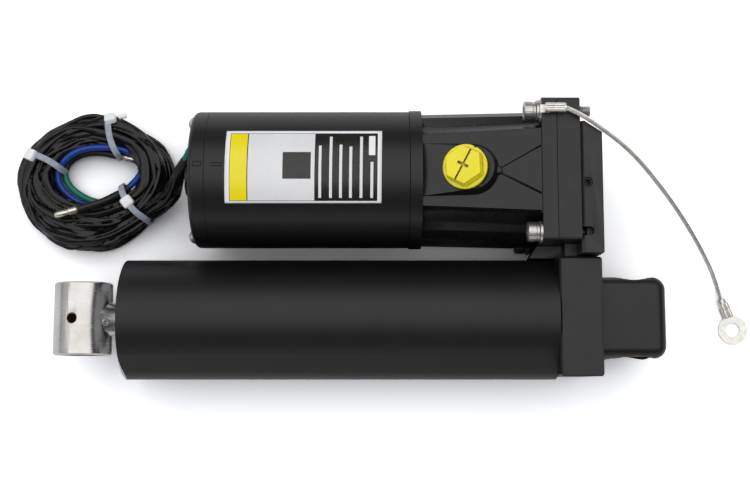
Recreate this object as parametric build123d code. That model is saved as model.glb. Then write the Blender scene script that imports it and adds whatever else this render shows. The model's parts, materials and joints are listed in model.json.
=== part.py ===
from build123d import *
from math import atan, atan2, cos, degrees, pi, radians, sin, sqrt, tan
import os

os.makedirs("parts", exist_ok=True)

# The unit lies on its back. X runs along the cylinder towards the fixed lug, Y from the cylinder
# to the motor, Z up. The origin is the centre of the pivot bore in the lug.

# Clearances
run_gap = 0.05
fit_gap = 0.02
seat_gap = 0.3
thread_gap = 0.1

# Cylinder
barrel_radius = 33.0
barrel_rod_end = -280.0
bore_radius = 25.0
gallery_y = -28.2
gallery_z = 13.5
gallery_radius = 2.5
gallery_reach = 33.6
gallery_slope = 36.0
gallery_edge_angle = 125.0
gallery_corner = 11.5
gallery_run_out = 4.0

# Cylinder base with its lug
base_left = -42.8
base_right = -19.9
base_half = 31.9
base_bevel = 1.0
spigot_length = 10.0
lug_right = 17.3
lug_half_width = 22.3
lug_half_height = 20.0
lug_round = 6.0
lug_corner = 7.0
spotface_radius = 18.2
spotface_depth = 1.8
lug_bush_radius = 12.7
pivot_radius = 9.55
port_radius = 3.0

# Gland, rod and eye
gland_recess = 1.0
gland_length = 30.0
gland_seal_offset = 19.0
gland_ring_offset = 24.0
spanner_radius = 2.0
spanner_ring_radius = 18.0
wiper_length = 5.0
seal_length = 4.0
seal_radius = 12.0
ring_section = 3.0
rod_radius = 8.0
rod_end_radius = 6.0
pin_span = 305.0
eye_radius = 16.0
eye_half_width = 20.15
eye_bush_radius = 12.0
neck_radius = 11.5
neck_length = 6.5
grease_radius = 2.4
grease_sink = 3.4
grease_offset = 3.0

# Pistons
piston_length = 22.0
piston_ring_length = 4.0
nut_flats = 18.0
nut_length = 8.0
memory_length = 14.0
memory_recess_radius = 12.0
memory_floor = 3.5
relief_ring_radius = 16.5
relief_seat_radius = 1.8
relief_ball_radius = 2.4
relief_count = 3

# Motor
motor_y = 77.8
motor_z = 5.8
motor_radius = 38.2
motor_wall = 2.4
can_left = -232.9
can_right = -122.8
cap_left = -241.9
cap_edge_round = 3.0
bell_right = -116.2
bell_step = 0.6
boss_left = -247.6
boss_radius = 8.8
shaft_radius = 5.0
stub_step = 1.0
coupling_wall = 3.0
coupling_socket = 8.0
coupling_end_gap = 2.0
bearing_radius = 7.5
spigot_depth = 4.0
magnet_thickness = 6.6
magnet_angle = 110.0
air_gap = 1.2
armature_left = -204.0
armature_right = -150.0
slot_count = 10
slot_width = 5.0
slot_depth = 11.0
commutator_radius = 12.0
commutator_left = -228.0
commutator_length = 11.0
brush_width = 6.0
brush_length = 8.0
brush_guide = 1.5
brush_guide_gap = 1.0
card_thickness = 2.0
card_step = 3.0
bolt_inset = 6.6
bolt_end_gap = 1.0
bolt_angle = 8.0
through_radius = 2.2
dome_radius = 4.4

# Reservoir
end_wall = 8.0
flange_left = -52.2
flange_right = -44.3
plateau_half_left = 19.2
plateau_half_right = 22.2
plateau_left_z = 38.6
plateau_right_z = 41.8
side_half_left = 34.3
side_half_right = 35.8
wall_out = 1.2
wall_drop = 5.0
valley_out = 6.4
band_drop_left = 10.8
band_drop_right = 14.4
band_fall = 1.4
shoulder_in = 3.4
shoulder_fall = 7.0
side_low = 26.0
keel_in = 9.0
keel_low = 35.0
cavity_half_y = 26.0
cavity_half_z = 21.0
cavity_corner = 8.0
crease_height = 0.9
crease_tip_x = -74.8
crease_tip_y = 76.3
crease_half = 13.1
nub_x = -78.7
nub_y = 77.1
nub_radius = 2.3
nub_height = 1.7
end_groove = 0.9
end_groove_depth = 1.5
pad_tip_x = -89.2
pad_radius = 15.6
pad_tilt = 14.0
pad_start_z = 39.2
pad_draft = 22.0
pad_sink = 3.0
pad_back = 10.0
filler_x = -93.5
neck_bore_radius = 7.5
neck_height = 0.8
neck_step = 0.9
cap_seal_thickness = 1.0
cap_radius = 11.9
cap_flange = 2.4
cap_flange_round = 0.8
cap_notch = 1.3
cap_hex_flats = 17.8
cap_hex_height = 6.0
cap_hex_draft = 6.0
cap_hex_turn = 32.0
cap_thread_radius = 7.3
cap_thread_length = 8.0
cap_slot = 1.0
cap_slot_depth = 1.4
cap_slot_length = 18.0
cap_cross_width = 1.5
cap_cross_length = 6.3
cap_slot_angle = 61.5

# Pump and its stack of plates
pump_left = -44.0
pump_right = -31.7
plate_low = 37.4
plate_high = 31.6
plate_half_z = 34.0
ear_reach = 39.5
ear_height = 14.0
gear_teeth = 12
gear_module = 1.5
gear_end_gap = 0.1
gear_stub = 3.0
gear_width = 8.0
pressure_angle = 25.0
gear_backlash = 0.12
cover_thickness = 7.0
cover_half = 16.0
cover_corner = 6.0
gear_pin_radius = 2.5
stack_bolt_y = 32.9
stack_bolt_z = 28.4
screw_radius = 3.0
screw_head_radius = 5.0
screw_head_length = 6.0
screw_socket_flats = 5.0
screw_length = 31.0
screw_bite = 3.2
washer_radius = 6.0
lock_washer_radius = 5.2
washer_thickness = 1.6
head_room = 0.6

# Valve body
valve_left = -31.6
valve_right = -19.9
transfer_seal_thickness = 1.4
valve_high_y = 104.6
valve_corner_x = 9.4
valve_corner_y = 6.2
foot_left = -38.0
foot_half_z = 15.0
gusset_left = -56.0
spool_y = 72.0
spool_radius = 2.5
spool_half = 9.0
spool_travel = 1.2
poppet_radius = 3.4
poppet_length = 7.0
poppet_travel = 1.0
pilot_length = 3.0
valve_top_step = 0.8
valve_edge_step = 1.6
valve_edge_depth = 1.2
release_x = -28.2
release_y = 71.1
release_radius = 2.7
release_length = 24.0
release_socket_flats = 3.0
tip_slot_width = 4.6
tip_slot_length = 6.4

# Ground strap
strap_radius = 1.3
crimp_radius = 2.4
crimp_length = 9.6
near_crimp_start = 1.2
near_crimp_length = 11.5
lug_plate = 1.0
near_ring_radius = 6.2
far_ring_radius = 8.35
far_hole_radius = 4.1
far_ring_x = 68.2
far_ring_y = -4.6
far_angle = 110.6
far_tongue = 19.0

# Wiring harness
floor_z = -33.0
tie_width = 3.6
tie_thickness = 1.2
coil_hole_x = -304.6
coil_hole_y = 85.2
coil_hole_half_x = 25.6
coil_hole_half_y = 17.4
coil_top_z = -13.2
coil_round = 6.0
lead_radius = 3.0
wire_radius = 1.7
wire_channel = 0.35
grommet_y = 92.0
grommet_z = 12.0
bullet_radius = 2.2
blue_bullet_length = 15.5
green_bullet_length = 9.0
tie_gap = 0.1
tie_head_long = 5.2
tie_head_wide = 6.2
tie_head_high = 5.0

# Places worked out from the driving sizes
armature_radius = motor_radius - motor_wall - magnet_thickness - air_gap
valve_low_y = base_half + transfer_seal_thickness
barrel_base_end = base_left
gland_left = barrel_rod_end + gland_recess
gland_right = gland_left + gland_length
spigot_left = base_left - spigot_length
memory_right = spigot_left - seat_gap
memory_left = memory_right - memory_length
piston_right = memory_left - seat_gap
piston_left = piston_right - piston_length
eye_x = -pin_span
neck_right = eye_x + eye_radius + neck_length - 3.0
rod_tip = piston_right + nut_length + 1.5
gear_pitch_radius = gear_module * gear_teeth / 2
driven_y = motor_y - 2 * gear_pitch_radius
bolt_z_high = motor_z + stack_bolt_z
bolt_z_low = motor_z - stack_bolt_z
bolt_y_high = motor_y + stack_bolt_y
bolt_y_low = motor_y - stack_bolt_y
plate_top = motor_z + plate_half_z
plate_bottom = motor_z - plate_half_z


def place_x(x, y=0.0, z=0.0):
    return Plane((x, y, z), x_dir=(0, 1, 0), z_dir=(1, 0, 0))


def rod_x(radius, x0, x1, y=0.0, z=0.0):
    return extrude(place_x(x0, y, z) * Circle(radius), x1 - x0)


def rod_y(radius, y0, y1, x=0.0, z=0.0):
    return Pos(x, (y0 + y1) / 2, z) * Rot(90, 0, 0) * Cylinder(radius, y1 - y0)


def rod_z(radius, z0, z1, x=0.0, y=0.0):
    return Pos(x, y, (z0 + z1) / 2) * Cylinder(radius, z1 - z0)


def ring_x(outer, inner, x0, x1, y=0.0, z=0.0):
    return rod_x(outer, x0, x1, y, z) - rod_x(inner, x0, x1, y, z)


def cone_x(radius0, radius1, x0, x1, y=0.0, z=0.0):
    return Pos((x0 + x1) / 2, y, z) * Rot(0, 90, 0) * Cone(radius0, radius1, x1 - x0)


def cuboid(x0, x1, y0, y1, z0, z1):
    return Pos((x0 + x1) / 2, (y0 + y1) / 2, (z0 + z1) / 2) * Box(x1 - x0, y1 - y0, z1 - z0)


def prism_x(sketch, x0, x1, y=0.0, z=0.0):
    return extrude(place_x(x0, y, z) * sketch, x1 - x0)


def o_ring_x(outer, section, x, y=0.0, z=0.0):
    return Pos(x, y, z) * Rot(0, 90, 0) * Torus(outer - section / 2, section / 2)


def groove_x(outer, section, x, y=0.0, z=0.0):
    half = section / 2 + 0.1
    return ring_x(outer + 1.0, outer - section, x - half, x + half, y, z)


def group(*shapes):
    return Compound([solid for shape in shapes for solid in shape.solids()])


def save(name, shape):
    export_step(shape, f"parts/{name}.step")


# Cylinder barrel: a drawn tube with an oil gallery in a shoulder along its side
def barrel_section():
    edge = radians(gallery_edge_angle)
    start = (barrel_radius * cos(edge), barrel_radius * sin(edge))
    corner = (-gallery_reach, start[1] - (gallery_reach + start[0]) * tan(radians(gallery_slope)))
    low = (-gallery_reach, -2.0)
    foot = (-barrel_radius * cos(radians(11.0)), -barrel_radius * sin(radians(11.0)))
    shoulder = make_face(Polyline((0, 0), start, corner, low, foot, close=True))
    round_vertex = shoulder.vertices().sort_by_distance((corner[0], corner[1], 0))[0]
    return Circle(barrel_radius) + fillet(round_vertex, gallery_corner)


def make_barrel():
    body = prism_x(barrel_section(), barrel_rod_end, barrel_base_end)
    run_out = cone_x(barrel_radius, barrel_radius + gallery_run_out,
                     barrel_rod_end, barrel_rod_end + gallery_run_out)
    body &= run_out + rod_x(barrel_radius + gallery_run_out,
                            barrel_rod_end + gallery_run_out, barrel_base_end)
    body -= rod_x(bore_radius, barrel_rod_end, barrel_base_end)
    gallery_start = gland_right + 2.0
    body -= rod_x(gallery_radius, gallery_start, barrel_base_end, gallery_y, gallery_z)
    cross = rod_y(gallery_radius, gallery_y, 0.0, gallery_start + gallery_radius, gallery_z)
    return body - cross


# Cylinder base: block, spigot into the barrel, lug and oil ports
def make_base():
    block = cuboid(base_left, base_right, -base_half, base_half, -base_half, base_half)
    block = chamfer(block.edges(), base_bevel)
    lug = cuboid(base_right - 2.0, lug_right, -lug_half_width, lug_half_width,
                 -lug_half_height, lug_half_height)
    lug = fillet(lug.edges().filter_by(Axis.Z).group_by(Axis.X)[-1], lug_corner)
    rims = [edge for edge in lug.edges()
            if abs(abs(edge.center().Z) - lug_half_height) < 0.01 and edge.center().X > base_right - 1.9]
    lug = fillet(rims, lug_round)
    body = block + lug
    for side in (-1, 1):
        outer = side * (lug_half_width + 1.0)
        inner = side * (lug_half_width - spotface_depth)
        face = rod_y(spotface_radius, min(outer, inner), max(outer, inner))
        body -= face & cuboid(base_right, lug_right + 1.0, -lug_half_width - 1.0, lug_half_width + 1.0,
                              -lug_half_height - 1.0, lug_half_height + 1.0)
    body -= rod_y(lug_bush_radius, -lug_half_width - 1.0, lug_half_width + 1.0)
    spigot = rod_x(bore_radius - fit_gap, spigot_left, base_left)
    spigot -= groove_x(bore_radius, ring_section, (spigot_left + base_left) / 2)
    body += spigot
    body -= rod_x(port_radius, spigot_left, port_x() + port_radius)
    body -= rod_y(port_radius, 0.0, base_half, port_x(), 0.0)
    body -= rod_x(gallery_radius, base_left, gallery_port_x() + gallery_radius, gallery_y, gallery_z)
    body -= rod_y(gallery_radius, gallery_y, base_half, gallery_port_x(), gallery_z)
    return body


def port_x():
    return base_right - 8.5


def gallery_port_x():
    return base_left + 6.0


def make_base_ring():
    return o_ring_x(bore_radius, ring_section, (spigot_left + base_left) / 2)


def make_lug_bush():
    half = lug_half_width - spotface_depth
    return rod_y(lug_bush_radius, -half, half) - rod_y(pivot_radius, -half, half)


# Gland that closes the rod end
def make_gland():
    body = rod_x(bore_radius - fit_gap, gland_left, gland_right)
    body -= rod_x(rod_radius + run_gap, gland_left, gland_right)
    body -= rod_x(seal_radius, gland_left, gland_left + wiper_length)
    seal_left = gland_left + gland_seal_offset
    body -= rod_x(seal_radius, seal_left, seal_left + seal_length)
    body -= groove_x(bore_radius, ring_section, gland_left + gland_ring_offset)
    holes = [place_x(gland_left) * Pos(*polar(spanner_ring_radius, 45 + 90 * turn)) * Circle(spanner_radius)
             for turn in range(4)]
    for hole in holes:
        body -= extrude(hole, 5.0)
    return body


def polar(radius, degrees_):
    return (radius * cos(radians(degrees_)), radius * sin(radians(degrees_)))


def make_gland_ring():
    return o_ring_x(bore_radius, ring_section, gland_left + gland_ring_offset)


def make_wiper():
    return ring_x(seal_radius, rod_radius + run_gap, gland_left, gland_left + wiper_length)


def make_rod_seal():
    left = gland_left + gland_seal_offset
    return ring_x(seal_radius, rod_radius + run_gap, left, left + seal_length)


# Ram: rod, eye, piston and its nut
def make_rod():
    body = rod_x(rod_radius, neck_right, piston_left)
    return body + rod_x(rod_end_radius, piston_left, rod_tip)


def make_eye():
    body = rod_y(eye_radius, -eye_half_width, eye_half_width, eye_x)
    body = chamfer(body.edges().filter_by(GeomType.CIRCLE), 0.8)
    body += cone_x(neck_radius, rod_radius, eye_x + eye_radius - 5.0, neck_right)
    body -= rod_y(eye_bush_radius, -eye_half_width, eye_half_width, eye_x)
    hole_x = eye_x - grease_offset
    body -= rod_z(grease_radius, 0.0, eye_radius, hole_x)
    sink = Cone(grease_radius - 0.6, grease_sink, 2.0)
    return body - Pos(hole_x, 0, eye_radius - 1.0) * sink


def make_eye_bush():
    body = rod_y(eye_bush_radius, -eye_half_width, eye_half_width, eye_x)
    body -= rod_y(pivot_radius, -eye_half_width, eye_half_width, eye_x)
    return body - rod_z(grease_radius, 0.0, eye_radius, eye_x - grease_offset)


def relief_places():
    return [polar(relief_ring_radius, 90 + 360 * turn / relief_count) for turn in range(relief_count)]


def relief_ball_x():
    seat = sqrt(relief_ball_radius ** 2 - relief_seat_radius ** 2)
    return piston_left + piston_length / 2 + seat


def make_piston():
    body = rod_x(bore_radius - run_gap, piston_left, piston_right)
    middle = (piston_left + piston_right) / 2
    half = piston_ring_length / 2
    body -= ring_x(bore_radius + 1.0, bore_radius - 3.0, middle - half, middle + half)
    body -= rod_x(rod_end_radius, piston_left, piston_right)
    for y, z in relief_places():
        body -= rod_x(relief_seat_radius, piston_left, middle, y, z)
        body -= rod_x(relief_ball_radius + thread_gap, middle, piston_right, y, z)
    return body


def make_piston_ring():
    middle = (piston_left + piston_right) / 2
    half = piston_ring_length / 2
    return ring_x(bore_radius - run_gap, bore_radius - 3.0, middle - half, middle + half)


def make_relief_balls():
    return group(*[Pos(relief_ball_x(), y, z) * Sphere(relief_ball_radius) for y, z in relief_places()])


def make_piston_nut():
    nut = prism_x(RegularPolygon(nut_flats / 2, 6, major_radius=False), piston_right,
                  piston_right + nut_length)
    return nut - rod_x(rod_end_radius, piston_right, piston_right + nut_length)


def make_memory_piston():
    body = rod_x(bore_radius - run_gap, memory_left, memory_right)
    body -= rod_x(memory_recess_radius, memory_left, memory_right - memory_floor)
    return body - groove_x(bore_radius, ring_section, memory_right - memory_length / 2)


def make_memory_ring():
    return o_ring_x(bore_radius - run_gap, ring_section - run_gap, memory_right - memory_length / 2)


# Motor
def through_places():
    ring = motor_radius - bolt_inset
    return [polar(ring, bolt_angle), polar(ring, bolt_angle + 180)]


def drill_through(body, radius, x0, x1):
    for y, z in through_places():
        body -= rod_x(radius, x0, x1, motor_y + y, motor_z + z)
    return body


def make_motor_housing():
    return ring_x(motor_radius, motor_radius - motor_wall, can_left, can_right, motor_y, motor_z)


def make_motor_end_cap():
    body = rod_x(motor_radius, cap_left, can_left, motor_y, motor_z)
    body = fillet(body.edges().group_by(Axis.X)[0], cap_edge_round)
    inner = motor_radius - motor_wall
    body += ring_x(inner, inner - 3.0, can_left, can_left + spigot_depth, motor_y, motor_z)
    body += rod_x(boss_radius, boss_left, cap_left, motor_y, motor_z)
    body -= rod_x(bearing_radius, boss_left + 1.5, can_left, motor_y, motor_z)
    body -= rod_x(grommet_bore(), cap_left, can_left, grommet_y, grommet_z)
    return drill_through(body, through_radius, cap_left, can_left + spigot_depth)


def grommet_bore():
    return lead_radius + 2.0


def make_grommet():
    body = rod_x(grommet_bore(), cap_left, can_left, grommet_y, grommet_z)
    body += rod_x(grommet_bore() + 1.4, cap_left - 1.6, cap_left, grommet_y, grommet_z)
    return body - rod_x(lead_radius, cap_left - 1.6, can_left, grommet_y, grommet_z)


def make_rear_bearing():
    return ring_x(bearing_radius, shaft_radius + run_gap, boss_left + 2.5, can_left, motor_y, motor_z)


def make_front_bell():
    body = rod_x(motor_radius + bell_step, can_right, bell_right, motor_y, motor_z)
    inner = motor_radius - motor_wall
    body += ring_x(inner, inner - 3.0, can_right - spigot_depth, can_right, motor_y, motor_z)
    body -= rod_x(bearing_radius, can_right, bell_right, motor_y, motor_z)
    return drill_through(body, through_radius, can_right - spigot_depth, bell_right)


def make_front_bearing():
    return ring_x(bearing_radius, shaft_radius + run_gap, can_right, bell_right, motor_y, motor_z)


def make_through_bolts():
    bolts = []
    for y, z in through_places():
        bolt = rod_x(through_radius, cap_left, bell_right + end_wall - bolt_end_gap, motor_y + y, motor_z + z)
        dome = Pos(cap_left, motor_y + y, motor_z + z) * Sphere(dome_radius)
        dome &= rod_x(dome_radius, cap_left - dome_radius, cap_left, motor_y + y, motor_z + z)
        bolts.append(bolt + dome)
    return group(*bolts)


def make_magnets():
    outer = motor_radius - motor_wall
    inner = outer - magnet_thickness
    shell = ring_x(outer, inner, armature_left - 6.0, armature_right + 6.0, motor_y, motor_z)
    half = magnet_angle / 2
    reach = 2 * motor_radius
    wedge = make_face(Polyline((0, 0), polar(reach, 90 - half), polar(reach, 90),
                               polar(reach, 90 + half), close=True))
    upper = shell & prism_x(wedge, armature_left - 7.0, armature_right + 7.0, motor_y, motor_z)
    lower = shell & prism_x(Rot(0, 0, 180) * wedge, armature_left - 7.0, armature_right + 7.0,
                            motor_y, motor_z)
    return group(upper, lower)


def make_armature_core():
    disc = Circle(armature_radius)
    for turn in range(slot_count):
        angle = 360 * turn / slot_count
        middle = armature_radius - slot_depth / 2 - 1.5
        disc -= Rot(0, 0, angle) * Pos(middle, 0) * Rectangle(slot_depth, slot_width)
        disc -= Rot(0, 0, angle) * Pos(armature_radius, 0) * Rectangle(4.0, 1.6)
    disc -= Circle(shaft_radius)
    return prism_x(disc, armature_left, armature_right, motor_y, motor_z)


def make_windings():
    outer = armature_radius - 2.0
    inner = armature_radius - slot_depth - 1.0
    left = ring_x(outer, inner, armature_left - 10.0, armature_left, motor_y, motor_z)
    right = ring_x(outer, inner, armature_right, armature_right + 10.0, motor_y, motor_z)
    left = fillet(left.edges().group_by(Axis.X)[0], 3.0)
    right = fillet(right.edges().group_by(Axis.X)[-1], 3.0)
    body = left + right
    for turn in range(slot_count):
        middle = armature_radius - slot_depth / 2 - 1.5
        wire = Rot(0, 0, 360 * turn / slot_count) * Pos(middle, 0) * Rectangle(slot_depth - 1.0,
                                                                               slot_width - 0.6)
        body += prism_x(wire, armature_left - 1.0, armature_right + 1.0, motor_y, motor_z)
    return body


def make_commutator():
    return ring_x(commutator_radius, shaft_radius, commutator_left,
                  commutator_left + commutator_length, motor_y, motor_z)


def make_shaft():
    return rod_x(shaft_radius, boss_left + 2.5, bell_right + end_wall + 10.0, motor_y, motor_z)


def brush_x():
    return commutator_left + commutator_length / 2


def make_brushes():
    inner = commutator_radius + run_gap
    half = brush_width / 2
    brushes = []
    for side in (-1, 1):
        brush = cuboid(brush_x() - half, brush_x() + half, motor_y - half, motor_y + half,
                       motor_z + inner, motor_z + inner + brush_length)
        brushes.append(brush if side > 0 else mirror(brush, Plane.XY.offset(motor_z)))
    return group(*brushes)


def make_brush_holder():
    inner = motor_radius - motor_wall - card_step
    card = ring_x(inner, commutator_radius + brush_guide, can_left, can_left + card_thickness, motor_y, motor_z)
    card = drill_through(card, through_radius + brush_guide_gap / 2, can_left, can_left + card_thickness)
    half = brush_width / 2
    top = motor_z + commutator_radius + brush_guide_gap
    high = top + 2 * brush_length - 2 * brush_guide_gap
    for side in (-1, 1):
        box = cuboid(can_left, brush_x() + half + brush_guide, motor_y - half - brush_guide,
                     motor_y + half + brush_guide, top, high)
        box -= cuboid(brush_x() - half, brush_x() + half, motor_y - half, motor_y + half,
                      top - brush_guide, high + brush_guide)
        card += box if side > 0 else mirror(box, Plane.XY.offset(motor_z))
    return card


# Reservoir
def reservoir_section(half, top_half, top_z, band_drop):
    band_z = top_z - band_drop
    low_z = band_z - band_fall
    right = [(top_half, top_z), (top_half + wall_out, top_z - wall_drop),
             (top_half + valley_out, band_z), (half - shoulder_in, low_z),
             (half, low_z - shoulder_fall), (half, -side_low), (half - keel_in, -keel_low)]
    left = [(-y, z) for y, z in reversed(right)]
    return make_face(Polyline(*right, *left, close=True))


def reservoir_shell():
    left = place_x(bell_right, motor_y, motor_z) * reservoir_section(
        side_half_left, plateau_half_left, plateau_left_z - motor_z, band_drop_left)
    right = place_x(flange_left, motor_y, motor_z) * reservoir_section(
        side_half_right, plateau_half_right, plateau_right_z - motor_z, band_drop_right)
    return loft([left, right], ruled=True)


def plateau_top(x):
    share = (x - bell_right) / (flange_left - bell_right)
    return plateau_left_z + share * (plateau_right_z - plateau_left_z)


def make_reservoir():
    body = reservoir_shell()
    outline = Polyline((crease_tip_x, crease_tip_y), (flange_left, motor_y + crease_half),
                       (flange_left, motor_y - crease_half), close=True)
    wedge = extrude(Pos(0, 0, motor_z) * make_face(outline), 2 * plate_half_z)
    body += Pos(0, 0, crease_height) * reservoir_shell() & wedge
    body += make_filler_pad()
    body += rod_z(nub_radius, plateau_left_z - pad_sink, plateau_top(nub_x) + nub_height, nub_x, nub_y)
    reach = side_half_right
    body -= cuboid(flange_left - end_groove, flange_left, motor_y - reach, motor_y + reach,
                   plate_top - end_groove_depth, plateau_right_z + crease_height)
    body += plate_outline(flange_left, flange_right)
    inner_left = bell_right + end_wall
    cavity = cuboid(inner_left, flange_right, motor_y - cavity_half_y, motor_y + cavity_half_y,
                    motor_z - cavity_half_z, motor_z + cavity_half_z)
    cavity = fillet(cavity.edges().filter_by(Axis.X), cavity_corner)
    body -= cavity
    body -= rod_x(bearing_radius + 3.0, bell_right, inner_left, motor_y, motor_z)
    body = drill_through(body, through_radius, bell_right, bell_right + end_wall - 1.0)
    bore_depth = plateau_left_z - motor_z
    body -= filler_plane() * Pos(0, 0, neck_height) * Cylinder(neck_bore_radius, 2 * bore_depth)
    for y, z in stack_places():
        body -= rod_x(screw_radius, flange_left, flange_right, y, z)
        body -= rod_x(washer_radius + head_room, head_right(y, z) - screw_head_length - head_room,
                      flange_left, y, z)
    return body


def stack_places():
    return [(bolt_y_high, bolt_z_high), (bolt_y_low, bolt_z_high),
            (bolt_y_high, bolt_z_low), (bolt_y_low, bolt_z_low)]


def filler_top(x):
    return pad_start_z + (x - bell_right) * tan(radians(pad_tilt))


def filler_plane():
    return Pos(filler_x, motor_y, filler_top(filler_x)) * Rot(0, -pad_tilt, 0)


def make_filler_pad():
    base_z = plateau_left_z - pad_sink
    height = filler_top(pad_tip_x + pad_radius) - base_z
    back = bell_right - pad_back
    outline = Pos((back + pad_tip_x) / 2, 0) * Rectangle(pad_tip_x - back, 2 * pad_radius)
    outline += Pos(pad_tip_x, 0) * Circle(pad_radius)
    pad = extrude(Pos(0, motor_y, base_z) * outline, height, taper=pad_draft)
    span = 2 * (pad_tip_x - back)
    keep = filler_plane() * Pos(0, 0, -span / 2) * Box(2 * span, 4 * pad_radius, span)
    limit = cuboid(bell_right, pad_tip_x + pad_radius, motor_y - pad_radius, motor_y + pad_radius,
                   base_z, base_z + height)
    neck = filler_plane() * Pos(0, 0, neck_height - pad_sink) * Cylinder(cap_radius - neck_step, 2 * pad_sink)
    return (pad & keep & limit) + neck


# Fill cap with its hexagon and slots, screwed into the tilted neck
def make_cap_seal():
    seal = Cylinder(cap_radius - neck_step - 0.5, cap_seal_thickness)
    seal -= Cylinder(cap_thread_radius + 4 * thread_gap, cap_seal_thickness)
    return filler_plane() * Pos(0, 0, neck_height + fit_gap + cap_seal_thickness / 2) * seal


def make_fill_cap():
    flange = Cylinder(cap_radius, cap_flange)
    flange = fillet(flange.edges().group_by(Axis.Z)[-1], cap_flange_round)
    notch = Rot(0, 0, cap_slot_angle) * Pos(cap_radius, 0) * Box(cap_notch, cap_notch, cap_flange)
    body = Pos(0, 0, cap_flange / 2) * (flange - notch)
    spread = cap_hex_height * tan(radians(cap_hex_draft))
    outline = Rot(0, 0, cap_hex_turn) * RegularPolygon(cap_hex_flats / 2 + spread, 6, major_radius=False)
    hexagon = extrude(Pos(0, 0, cap_flange) * outline, cap_hex_height, taper=cap_hex_draft)
    body += fillet(hexagon.edges().group_by(Axis.Z)[-1], cap_slot / 2)
    top = cap_flange + cap_hex_height
    slot = Rot(0, 0, cap_slot_angle) * Box(cap_slot_length, cap_slot, 2 * cap_slot_depth)
    cross = Rot(0, 0, cap_slot_angle + 90) * Box(cap_cross_length, cap_cross_width, 2 * cap_slot_depth)
    body -= Pos(0, 0, top) * (slot + cross)
    body += Pos(0, 0, -cap_thread_length / 2) * Cylinder(cap_thread_radius, cap_thread_length)
    lift = neck_height + cap_seal_thickness + 2 * fit_gap
    return filler_plane() * Pos(0, 0, lift) * body


# Pump plates, gears and screws
def plate_outline(x0, x1):
    body = cuboid(x0, x1, motor_y - plate_low, motor_y + plate_high, plate_bottom, plate_top)
    for top in (plate_top, plate_bottom + ear_height):
        body += cuboid(x0, x1, motor_y, motor_y + ear_reach, top - ear_height, top)
    return chamfer(body.edges().filter_by(Axis.X), 0.9)


def gear_blank(teeth, phase):
    pitch = gear_module * teeth / 2
    base = pitch * cos(radians(pressure_angle))
    tip = pitch + gear_module
    root = pitch - 1.25 * gear_module
    alpha = radians(pressure_angle)
    half = pi / (2 * teeth) - gear_backlash / (2 * pitch) + tan(alpha) - alpha
    steps = 4
    reach = sqrt((tip / base) ** 2 - 1)
    flank = []
    for step in range(steps + 1):
        roll = reach * step / steps
        angle = half - (roll - atan(roll))
        radius = base * sqrt(1 + roll ** 2)
        flank.append((radius * cos(angle), radius * sin(angle)))
    foot = (root * cos(half), root * sin(half))
    upper = [foot] + flank
    lower = [(x, -y) for x, y in reversed(upper)]
    tooth = make_face(Polyline((0, 0), *lower[::-1], *upper[::-1], close=True))
    blank = Circle(root + 0.02)
    for turn in range(teeth):
        blank += Rot(0, 0, phase + 360 * turn / teeth) * tooth
    return blank


def make_drive_gear():
    right = gear_left() + gear_width - gear_end_gap
    body = prism_x(gear_blank(gear_teeth, 0.0), gear_left(), right, motor_y, motor_z)
    body += rod_x(shaft_radius - stub_step, coupling_left() + coupling_socket, right + gear_stub,
                  motor_y, motor_z)
    return body


def gear_left():
    return pump_left + 0.05


def make_driven_gear():
    body = prism_x(gear_blank(gear_teeth, 180.0 / gear_teeth), gear_left(),
                   gear_left() + gear_width - 0.1, driven_y, motor_z)
    return body - rod_x(gear_pin_radius + run_gap, gear_left(), gear_left() + gear_width, driven_y, motor_z)


def make_gear_pin():
    return rod_x(gear_pin_radius, pump_left - cover_thickness + 2.0, pump_left + gear_width + 3.0,
                 driven_y, motor_z)


def make_pump_body():
    body = plate_outline(pump_left, pump_right)
    pocket = gear_module * (gear_teeth / 2 + 1) + run_gap
    floor = pump_left + gear_width
    body -= rod_x(pocket, pump_left, floor, motor_y, motor_z)
    body -= rod_x(pocket, pump_left, floor, driven_y, motor_z)
    body -= rod_x(shaft_radius - 1.0 + run_gap, floor, floor + 3.1, motor_y, motor_z)
    body -= rod_x(gear_pin_radius, floor, floor + 3.0, driven_y, motor_z)
    for side in (-1, 1):
        body -= rod_x(port_radius, pump_left, pump_right, (motor_y + driven_y) / 2,
                      motor_z + side * 7.5)
    for y, z in stack_places():
        body -= rod_x(screw_radius, pump_left, pump_right, y, z)
    return body


def make_pump_cover():
    half_y = cavity_half_y - 1.0
    body = cuboid(pump_left - cover_thickness, pump_left, motor_y - half_y, motor_y + cover_half,
                  motor_z - cover_half, motor_z + cover_half)
    body = fillet(body.edges().filter_by(Axis.X), cover_corner)
    body -= rod_x(shaft_radius - 1.0 + run_gap, pump_left - cover_thickness, pump_left, motor_y, motor_z)
    body -= rod_x(gear_pin_radius, pump_left - cover_thickness + 2.0, pump_left, driven_y, motor_z)
    return body


def make_reservoir_seal():
    outer = cuboid(flange_right, pump_left, motor_y - plate_low + 2.0, motor_y + plate_high - 2.0,
                   plate_bottom + 2.0, plate_top - 2.0)
    inner = cuboid(flange_right, pump_left, motor_y - cavity_half_y, motor_y + cavity_half_y,
                   motor_z - cavity_half_z, motor_z + cavity_half_z)
    body = outer - inner
    for y, z in stack_places():
        body -= rod_x(screw_radius + 0.5, flange_right, pump_left, y, z)
    return body


def coupling_left():
    return bell_right + end_wall + coupling_end_gap


def make_coupling():
    left = coupling_left()
    right = left + 2 * coupling_socket
    body = rod_x(shaft_radius + coupling_wall, left, right, motor_y, motor_z)
    body -= rod_x(shaft_radius, left, left + coupling_socket, motor_y, motor_z)
    return body - rod_x(shaft_radius - stub_step, left + coupling_socket, right, motor_y, motor_z)


def head_right(y, z):
    strap = lug_plate if (y, z) == stack_places()[0] else 0.0
    return flange_left - strap - 2 * washer_thickness


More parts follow.
